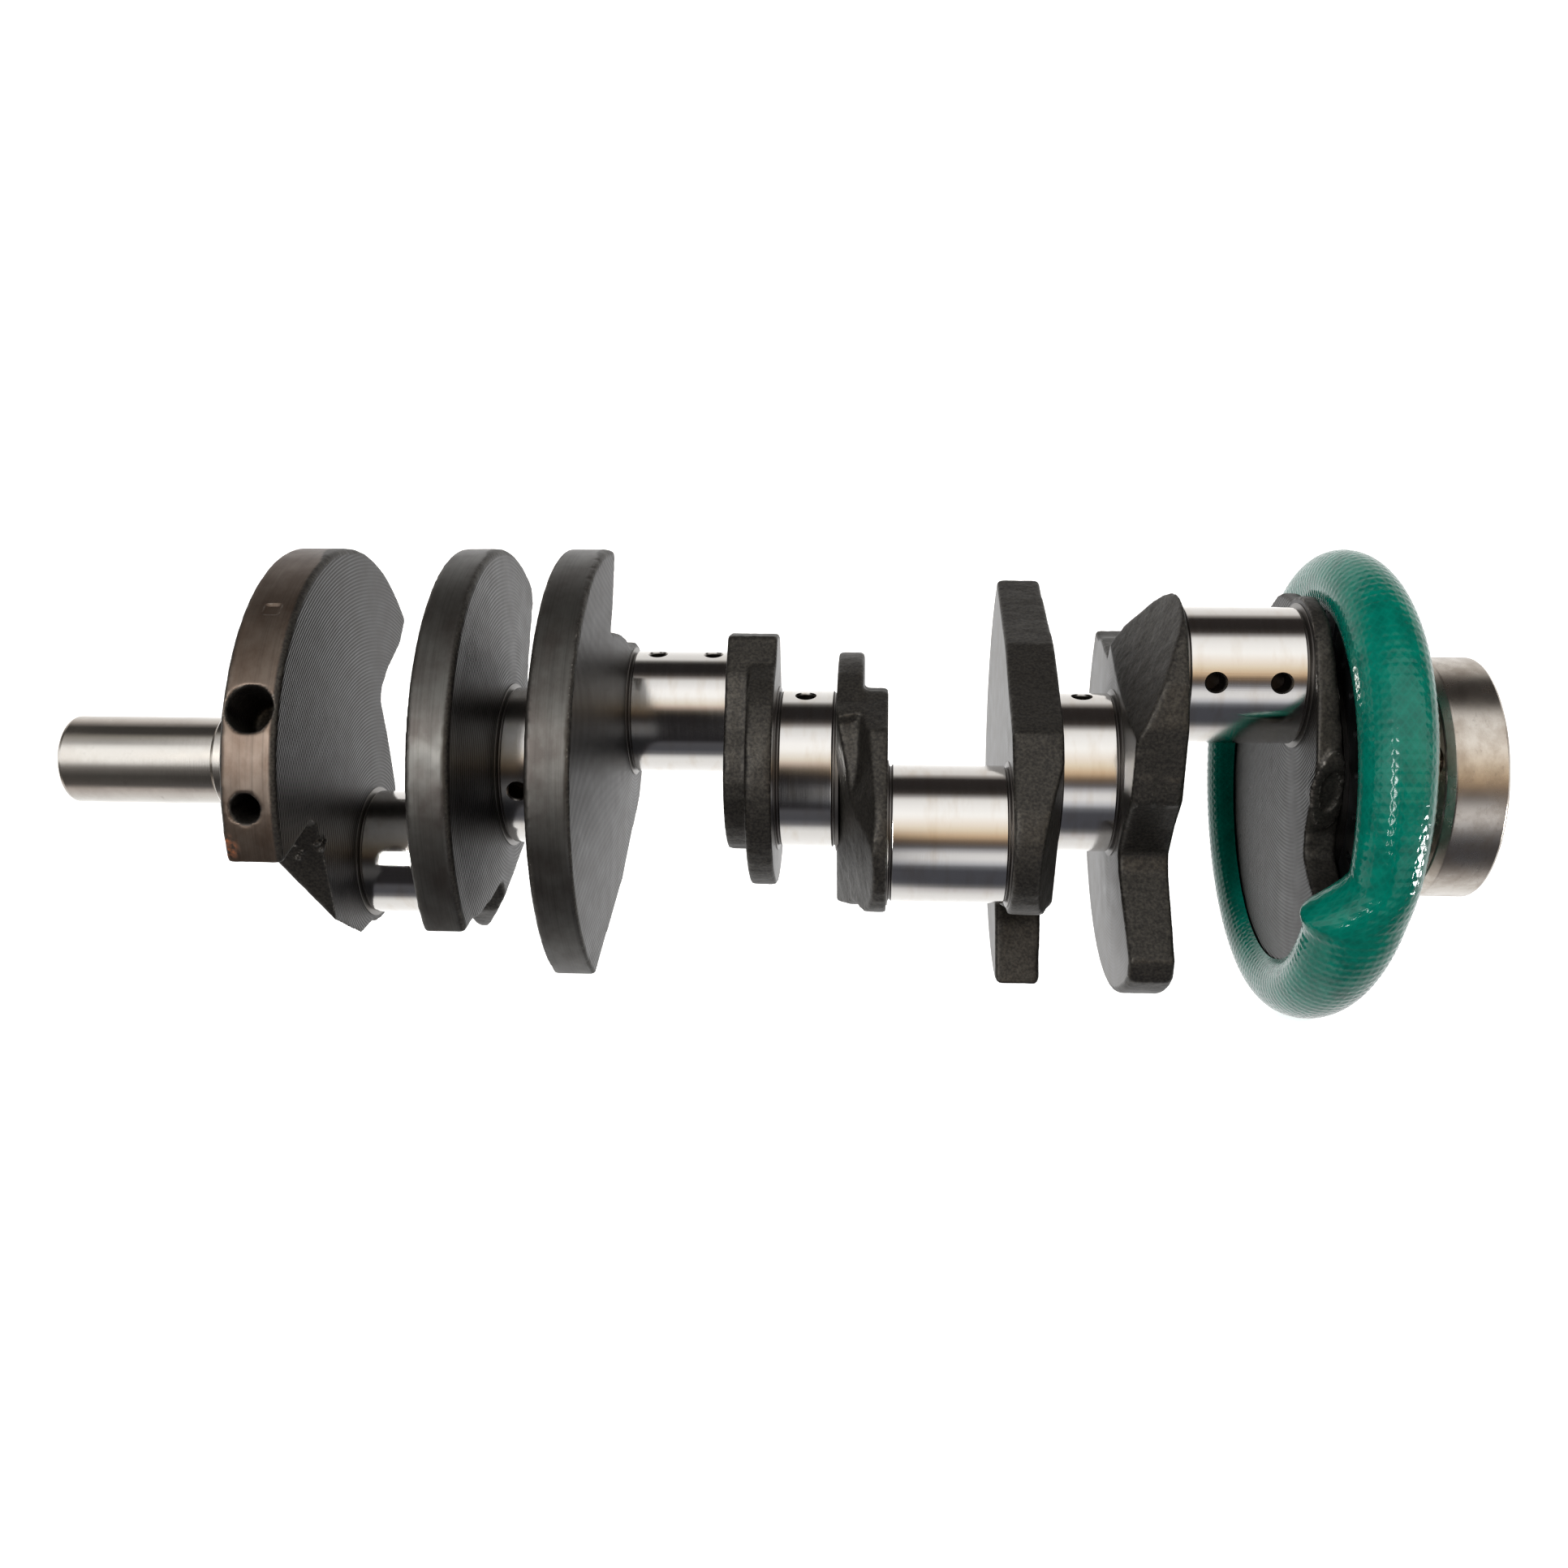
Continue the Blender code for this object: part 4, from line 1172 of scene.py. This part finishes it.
@dataclass
class GuardHose:
    """Split braided hose pushed over the ring's rim and part of the last web's rim."""

    path_radius: float = 81.2
    drop: float = 3.7
    half_depth: float = 13.4
    wall: float = 2.8
    lip_gap: float = 0.7
    ring_front: float = 204.5
    ring_back: float = 208.5
    web_front: float = 191.0
    wrap_first: float = CLOCK - 81.0
    wrap_span: float = 198.0
    wrap_ease: float = 13.0
    rear_edge: float = 220.0
    rear_edge_side_sway: float = 5.5
    rear_edge_rise: float = 4.5
    free_edge: float = 199.2
    free_edge_rise: float = 0.8
    wrap_edge: float = 183.3
    wrap_edge_sway: float = 2.6
    wrap_edge_turn: float = 40.0
    tongue_clock: float = -36.0
    tongue_reach: float = 2.2
    tongue_width: float = 3.0
    lip_limit: float = 0.98
    around: int = 720
    quilt_height: float = 0.14
    quilt_ring: int = 78
    quilt_section: int = 17
    wrinkle_height: float = 0.5
    wrinkle_spread: float = 5.0
    wrinkle_rate: float = 1.6
    wrinkle_slant: float = 8.0
    wrinkle_middle: float = 0.4
    relief_ease: float = 0.06
    outer_steps: int = 84
    inner_steps: int = 18
    lip_steps: int = 2

    def section(self, clock: np.ndarray) -> tuple[np.ndarray, np.ndarray, np.ndarray, np.ndarray]:
        """Centre X, half width, and front and rear lip X of the hose.

        Args:
            clock: clock angles round the ring, in degrees.

        Returns:
            The four measures in millimetres, one value per clock angle.
        """
        turn = np.radians(clock)
        behind = (self.wrap_first - clock) % 360
        over_web = (smooth_step(0, self.wrap_ease, behind)
                    * smooth_step(0, self.wrap_ease, self.wrap_span - behind))
        rear_edge = (self.rear_edge + self.rear_edge_side_sway * np.cos(turn)
                     + self.rear_edge_rise * np.sin(turn))
        free_edge = self.free_edge + self.free_edge_rise * np.sin(turn)
        wrap_edge = self.wrap_edge + self.wrap_edge_sway * np.cos(turn + math.radians(self.wrap_edge_turn))
        from_tongue = (clock + 180 - self.tongue_clock) % 360 - 180
        tongue = self.tongue_reach * np.exp(-from_tongue ** 2 / self.tongue_width ** 2)
        front_edge = free_edge + (wrap_edge - free_edge) * over_web - tongue
        free_lip = self.ring_front - self.lip_gap
        web_lip = self.web_front - self.lip_gap
        front_lip = free_lip + (web_lip - free_lip) * over_web
        rear_lip = np.full_like(turn, self.ring_back + self.lip_gap)
        return (front_edge + rear_edge) / 2, (rear_edge - front_edge) / 2, front_lip, rear_lip

    def wall_points(self, clock: np.ndarray, share: np.ndarray, inset: float) -> np.ndarray:
        """Points of one wall of the hose.

        Args:
            clock: clock angles round the ring, in degrees.
            share: 0 at the front lip and 1 at the rear lip.
            inset: how far inside the outer skin the wall lies, in millimetres.

        Returns:
            An array of points in millimetres, clock by share by 3.
        """
        middle, half_width, front_lip, rear_lip = self.section(clock)
        width = half_width - inset
        depth = self.half_depth - inset
        limit = self.lip_limit
        start = np.arcsin(np.clip((front_lip - middle) / width, -limit, limit)) - math.pi / 2
        end = np.arcsin(np.clip((rear_lip - middle) / width, -limit, limit)) - math.pi / 2 - 2 * math.pi
        turn = start[:, None] + (end - start)[:, None] * share[None, :]
        along = middle[:, None] + width[:, None] * np.sin(turn + math.pi / 2)
        radius = self.path_radius + depth * np.sin(turn)
        angle = np.radians(clock)[:, None]
        across = -np.cos(angle) * radius
        up = np.sin(angle) * radius - self.drop
        return np.stack([along, across, up], axis=-1)

    def skin_height(self, clock: np.ndarray, loop: np.ndarray) -> np.ndarray:
        """Height of the outer skin's quilting and wrinkles.

        Args:
            clock: clock angles round the ring, in degrees.
            loop: places round the section, from 0 to 1.

        Returns:
            Heights in millimetres, clock by section.
        """
        turn = np.radians(clock)[:, None] * self.quilt_ring
        slant = 2 * math.pi * loop[None, :] * self.quilt_section
        height = self.quilt_height * np.sin(turn + slant) * np.sin(turn - slant)
        fold = self.wrap_first - self.wrap_span + self.wrap_ease / 2
        away = ((clock[:, None] - fold + 180) % 360 - 180
                + self.wrinkle_slant * (loop[None, :] - self.wrinkle_middle))
        spread = np.exp(-(away / self.wrinkle_spread) ** 2)
        return height + self.wrinkle_height * spread * np.cos(away * self.wrinkle_rate)

    def build(self, finish: bpy.types.Material) -> None:
        """Spin a small circle into a ring, and open it out into the wall's closed C section.

        Args:
            finish: the braided vinyl.
        """
        minor = self.outer_steps + self.inner_steps + 2 * self.lip_steps
        bpy.ops.object.select_all(action="DESELECT")
        bpy.ops.mesh.primitive_circle_add(vertices=minor, radius=self.wall * MM, fill_type="NOTHING",
                                          location=(0, -self.path_radius * MM, 0))
        item = finish_place("guard_hose_braided")
        bpy.ops.object.mode_set(mode="EDIT")
        bpy.ops.mesh.select_all(action="SELECT")
        bpy.ops.mesh.spin(steps=self.around, angle=2 * math.pi, center=(0, 0, 0), axis=(1, 0, 0),
                          use_auto_merge=True)
        bpy.ops.object.mode_set(mode="OBJECT")
        tidy_mesh(item)
        made = read_points(item.data)
        radius = np.hypot(made[:, 1], made[:, 2])
        section_turn = np.arctan2(radius - self.path_radius * MM, made[:, 0]) + math.pi / 2
        step = np.rint(section_turn / (2 * math.pi) * minor).astype(int) % minor
        turn = np.arctan2(made[:, 2], -made[:, 1])
        place = np.rint(turn / (2 * math.pi) * self.around).astype(int) % self.around

        clock = np.arange(self.around) * 360 / self.around
        share = np.linspace(0, 1, self.outer_steps + 1)
        relief = self.skin_height(clock, share * self.outer_steps / minor)
        relief = relief * smooth_step(0.0, self.relief_ease, share)
        relief = relief * smooth_step(0.0, self.relief_ease, 1 - share)
        outer = self.wall_points(clock, share, 0.0)
        away = outer - self.wall_points(clock, share, 1.0)
        away /= np.maximum(np.linalg.norm(away, axis=-1, keepdims=True), MERGE_MM)
        outer = outer + away * relief[:, :, None]
        inner = self.wall_points(clock, np.linspace(1, 0, self.inner_steps + 1), self.wall)
        loop = [outer]
        for part in range(1, self.lip_steps):
            loop.append((outer[:, -1:] * (self.lip_steps - part) + inner[:, :1] * part) / self.lip_steps)
        loop.append(inner)
        for part in range(1, self.lip_steps):
            loop.append((inner[:, -1:] * (self.lip_steps - part) + outer[:, :1] * part) / self.lip_steps)
        points = np.concatenate(loop, axis=1)
        if points.shape[1] != minor or len(made) != minor * self.around:
            raise ValueError(f"{points.shape[1]} section points and {len(made)} vertices don't fit")
        write_points(item.data, points[place, step] * MM)
        self.write_uv(item.data, place, step, minor)
        select_only(item)
        bpy.ops.object.mode_set(mode="EDIT")
        bpy.ops.mesh.select_all(action="SELECT")
        bpy.ops.mesh.normals_make_consistent(inside=False)
        bpy.ops.object.mode_set(mode="OBJECT")
        shade(item, math.radians(50))
        hand_in(item, ("guard_hose",), finish)

    def write_uv(self, mesh: bpy.types.Mesh, place: np.ndarray, step: np.ndarray, minor: int) -> None:
        """Lay the UV map: U once round the ring and V once round the section, with no torn seam.

        Args:
            mesh: the hose's mesh, all quads.
            place: each vertex's place round the ring.
            step: each vertex's place round the section.
            minor: the number of places round the section.
        """
        corners = np.empty(len(mesh.loops), dtype=np.int64)
        mesh.loops.foreach_get("vertex_index", corners)
        corners = corners.reshape(-1, 4)
        sides = []
        for index, count in ((place, self.around), (step, minor)):
            value = index[corners].astype(float)
            torn = value.max(axis=1) - value.min(axis=1) > count / 2
            value += count * (torn[:, None] & (value < count / 2))
            sides.append(value / count)
        layer = mesh.uv_layers.new(name="UVMap") if not mesh.uv_layers else mesh.uv_layers[0]
        layer.data.foreach_set("uv", np.stack(sides, axis=-1).ravel().astype(np.float32))


# ---------------------------------------------------------------------------------------------
# Studio
# ---------------------------------------------------------------------------------------------

@dataclass
class Studio:
    """White sweep, a ring of large soft lights as a sky, and the camera."""

    floor_height: float = -98.9
    floor_size: float = 6000.0
    wall_radius: float = 2900.0
    wall_height: float = 9000.0
    focal_mm: float = 34.286
    camera_x: float = 29.116
    camera_distance: float = 621.812
    yaw: float = 0.063159
    pitch: float = -0.010645
    roll: float = 0.013286
    sky_strength: float = 1.5

    # Elevation of the light's direction in degrees, seen along the shaft, from straight ahead of
    # the shaft (0) over the top (90) to behind it (180), with the colour that comes from there.
    # One set each for light from beyond the snout, from the left half and from the right half.
    SNOUT_BANDS = ((-180, "#ffffff"), (-131, "#dbdbdb"), (-86, "#b2aba7"), (-74, "#4f4c4a"),
                   (-45, "#42403e"), (-27, "#656260"), (-18, "#8c8a88"), (-9, "#e7e6e5"), (-1, "#f9f9f8"),
                   (25, "#f9f9f9"), (34, "#e3e3e3"), (43, "#a4a3a2"), (62, "#807d77"), (73, "#3c3a38"),
                   (96, "#3a3836"), (110, "#8d8885"), (127, "#c2bdb9"), (180, "#f0f0f0"))
    LEFT_BANDS = ((-180, "#ffffff"), (-104, "#e1e1e1"), (-97, "#c6c6c6"), (-90, "#6a6a6d"),
                  (-80, "#47484d"), (-66, "#4a4a4e"), (-58, "#232224"), (-11, "#201f20"), (-5, "#38342f"),
                  (-1, "#57504a"), (3, "#8f8177"), (8, "#c8b9ad"), (13, "#e2dbce"), (18, "#ece7e0"),
                  (27, "#fdfdfc"), (36, "#fdfdfd"), (46, "#ededee"), (58, "#d8d8d8"), (64, "#8a8684"),
                  (70, "#3c3836"), (78, "#222020"), (100, "#222020"), (107, "#5a5856"), (115, "#d2d1d0"),
                  (180, "#ffffff"))
    RIGHT_BANDS = ((-180, "#ffffff"), (-120, "#dedede"), (-105, "#b8b6b8"), (-97, "#6a6a6c"),
                   (-88, "#43444a"), (-62, "#44454b"), (-54, "#66686e"), (-48, "#b5b7bd"),
                   (-40, "#dddddf"), (-32, "#d8d8da"), (-26, "#a9a9ad"), (-20, "#5c5a5c"),
                   (-13, "#62564c"), (-9, "#7e6a58"), (-4, "#b49c80"), (0, "#cdb496"), (9, "#e3d6c0"),
                   (18, "#efe6db"), (33, "#fdfdfc"), (50, "#f0f0f0"), (60, "#e0dfde"), (66, "#8e8c8b"),
                   (72, "#35302d"), (81, "#262322"), (105, "#282423"), (113, "#8e8a87"),
                   (120, "#d0cecc"), (180, "#ffffff"))

    def build_sky(self) -> None:
        """Make the world a set of soft light bands that run along the shaft."""
        world = bpy.data.worlds.new("studio_sky")
        bpy.context.scene.world = world
        world.use_nodes = True
        tree = world.node_tree
        background = tree.nodes["Background"]
        direction = add_node(tree, "TexCoord").outputs["Generated"]
        split = add_node(tree, "SeparateXYZ", {}, {0: direction})
        ahead = add_node(tree, "Math", {"operation": "MULTIPLY", 1: -1.0}, {0: split.outputs[1]})
        angle = add_node(tree, "Math", {"operation": "ARCTAN2"}, {0: split.outputs[2], 1: ahead})
        share = add_node(tree, "Math", {"operation": "MULTIPLY_ADD", 1: 1 / (2 * math.pi), 2: 0.5},
                         {0: angle})
        ramps = []
        for bands in (self.SNOUT_BANDS, self.LEFT_BANDS, self.RIGHT_BANDS):
            ramp = add_node(tree, "ValToRGB", {}, {0: share})
            stops = ramp.color_ramp.elements
            while len(stops) > 1:
                stops.remove(stops[-1])
            for index, (elevation, colour) in enumerate(bands):
                place = (elevation + 180) / 360
                stop = stops[0] if index == 0 else stops.new(place)
                stop.position = place
                stop.color = linear(colour)
            ramps.append(ramp.outputs[0])
        inward = add_node(tree, "MapRange", {"From Min": -0.43, "From Max": -0.36}, {0: split.outputs[0]})
        front = add_node(tree, "Mix", {"data_type": "RGBA"}, {0: inward, 6: ramps[0], 7: ramps[1]})
        rightward = add_node(tree, "MapRange", {"From Min": -0.035, "From Max": 0.035},
                             {0: split.outputs[0]})
        add_node(tree, "Mix", {"data_type": "RGBA"}, {0: rightward, 6: front.outputs[2], 7: ramps[2]},
                 {2: background.inputs["Color"]})
        background.inputs["Strength"].default_value = self.sky_strength

    def build_floor(self, finish: bpy.types.Material) -> None:
        """Lay the paper sweep under the shaft.

        Args:
            finish: the paper.
        """
        bpy.ops.object.select_all(action="DESELECT")
        bpy.ops.mesh.primitive_plane_add(size=self.floor_size * MM,
                                         location=(0, 0, self.floor_height * MM))
        floor = finish_place("paper_floor")
        floor.data.materials.append(finish)
        floor.visible_glossy = False
        floor.visible_diffuse = False

    def build_wall(self, finish: bpy.types.Material) -> None:
        """Stand a round paper wall about the floor, which hides the sky's bands from the eye.

        Args:
            finish: the paper.
        """
        bpy.ops.object.select_all(action="DESELECT")
        bpy.ops.mesh.primitive_cylinder_add(vertices=96, radius=self.wall_radius * MM,
                                            depth=self.wall_height * MM, end_fill_type="NOTHING")
        wall = finish_place("paper_wall")
        wall.data.materials.append(finish)
        wall.visible_glossy = False
        wall.visible_diffuse = False
        wall.visible_shadow = False

    def add_softbox(self, name: str, place_mm: tuple[float, float, float], size_mm: tuple[float, float],
                    watts: float) -> None:
        """Hang one soft light that looks at the shaft's rear end.

        Args:
            name: the light's name.
            place_mm: where it hangs.
            size_mm: its width and height.
            watts: its power.
        """
        data = bpy.data.lights.new(name, "AREA")
        data.shape = "RECTANGLE"
        data.size, data.size_y = (side * MM for side in size_mm)
        data.energy = watts
        lamp = bpy.data.objects.new(name, data)
        bpy.context.scene.collection.objects.link(lamp)
        place = Vector(place_mm) * MM
        target = Vector((180 * MM, 0, 0))
        lamp.matrix_world = Matrix.Translation(place) @ (target - place).to_track_quat(
            "-Z", "Y").to_matrix().to_4x4()

    def build_camera(self) -> None:
        """Set the camera square to the shaft, a little behind its middle."""
        turn = (Matrix.Rotation(self.yaw, 3, "Y") @ Matrix.Rotation(self.pitch, 3, "X")
                @ Matrix.Rotation(self.roll, 3, "Z"))
        data = bpy.data.cameras.new("camera")
        data.sensor_width = 36.0
        data.sensor_fit = "HORIZONTAL"
        data.lens = self.focal_mm
        data.clip_start = 0.01
        data.clip_end = 50.0
        data.dof.use_dof = False
        camera = bpy.data.objects.new("camera", data)
        bpy.context.scene.collection.objects.link(camera)
        columns = [turn.col[index] for index in range(3)]
        upright = Matrix([(column.x, -column.z, column.y) for column in columns]).transposed()
        place = Matrix.Translation((self.camera_x * MM, -self.camera_distance * MM, 0))
        camera.matrix_world = place @ upright.to_4x4()
        bpy.context.scene.camera = camera

    def build(self, finish: bpy.types.Material) -> None:
        """Set up everything round the shaft.

        Args:
            finish: the paper of the floor and the wall.
        """
        self.build_sky()
        self.build_floor(finish)
        self.build_wall(finish)
        self.add_softbox("left_strip", place_mm=(-520, -1200, -60), size_mm=(120, 900), watts=13)
        self.add_softbox("right_window", place_mm=(1500, -60, -500), size_mm=(420, 300), watts=32)
        self.build_camera()
        bpy.context.scene.view_settings.view_transform = "Standard"


def main() -> None:
    """Build the finishes, then each sub-assembly, then the studio."""
    logging.basicConfig(level=logging.INFO, format="%(name)s: %(message)s")
    turned = TurnedSteel().material()
    snout = TurnedSteel("turned_snout_iron", clean="#cbc7c1", stain_share=0.2, speck_share=0.15,
                        roughness=0.11).material()
    dark = CastingIron().material()
    brown = CastingIron(name="nodular_iron_browned", rim="#665b52", rim_brown="#53453b",
                        rim_dark="#322b27").material()
    raw = CastingIron(name="nodular_iron_raw", groove_depth_mm=0.02, groove_tint=0.1, face="#302d2b",
                      face_light="#56524e", face_roughness=0.38).material()
    Journals().build(GroundSteel().material())
    Snout().build(snout)
    Flange().build(turned, PressedSteel("plug_steel_zinc", "#8c8981", "#a8a49a", 0.3).material())
    ToneRing().build(PressedSteel().material(), dark)
    spots = tuple(Mark(x, along, 55.0, 1.3, 1.3) for x, along in
                  ((-201.5, 3.8), (-199.0, 7.7), (-192.3, 3.7), (-191.1, 6.4), (-200.9, 10.5)))
    dimple = (Mark(-201.0, -85.5, 27.3, 2.8, 2.0, -0.8, 2.6),)
    bars = (Mark(129.7, 20.5, -48.0, 3.3, 6.5, 0.6, shape=MarkShape.BAR),
            Mark(139.7, 20.5, -48.0, 2.8, 5.5, 0.6, shape=MarkShape.BAR))
    loop = (Mark(197.0, 23.0, -50.0, 4.6, 12.0, 0.8, 9.0, MarkShape.LOOP),)
    webs = ((Web(1, rim_surface=Surface.TURNED, strip=1.4, rust_clock=-21.0, marks=spots + dimple), brown),
            (Web(2, rim_surface=Surface.TURNED, strip=1.4, cast_above=75.0), dark),
            (Web(3, rim_surface=Surface.TURNED, strip=1.4, cast_above=84.0), dark),
            (Web(4), raw), (Web(5), raw), (Web(6), raw), (Web(7, marks=bars), raw),
            (Web(8, rim_radius=86.5, rim_surface=Surface.TURNED, marks=loop), dark))
    for web, finish in webs:
        web.build(finish)
    GuardHose().build(BraidedVinyl().material())
    Studio().build(StudioPaper().material())


if __name__ == "__main__":
    main()
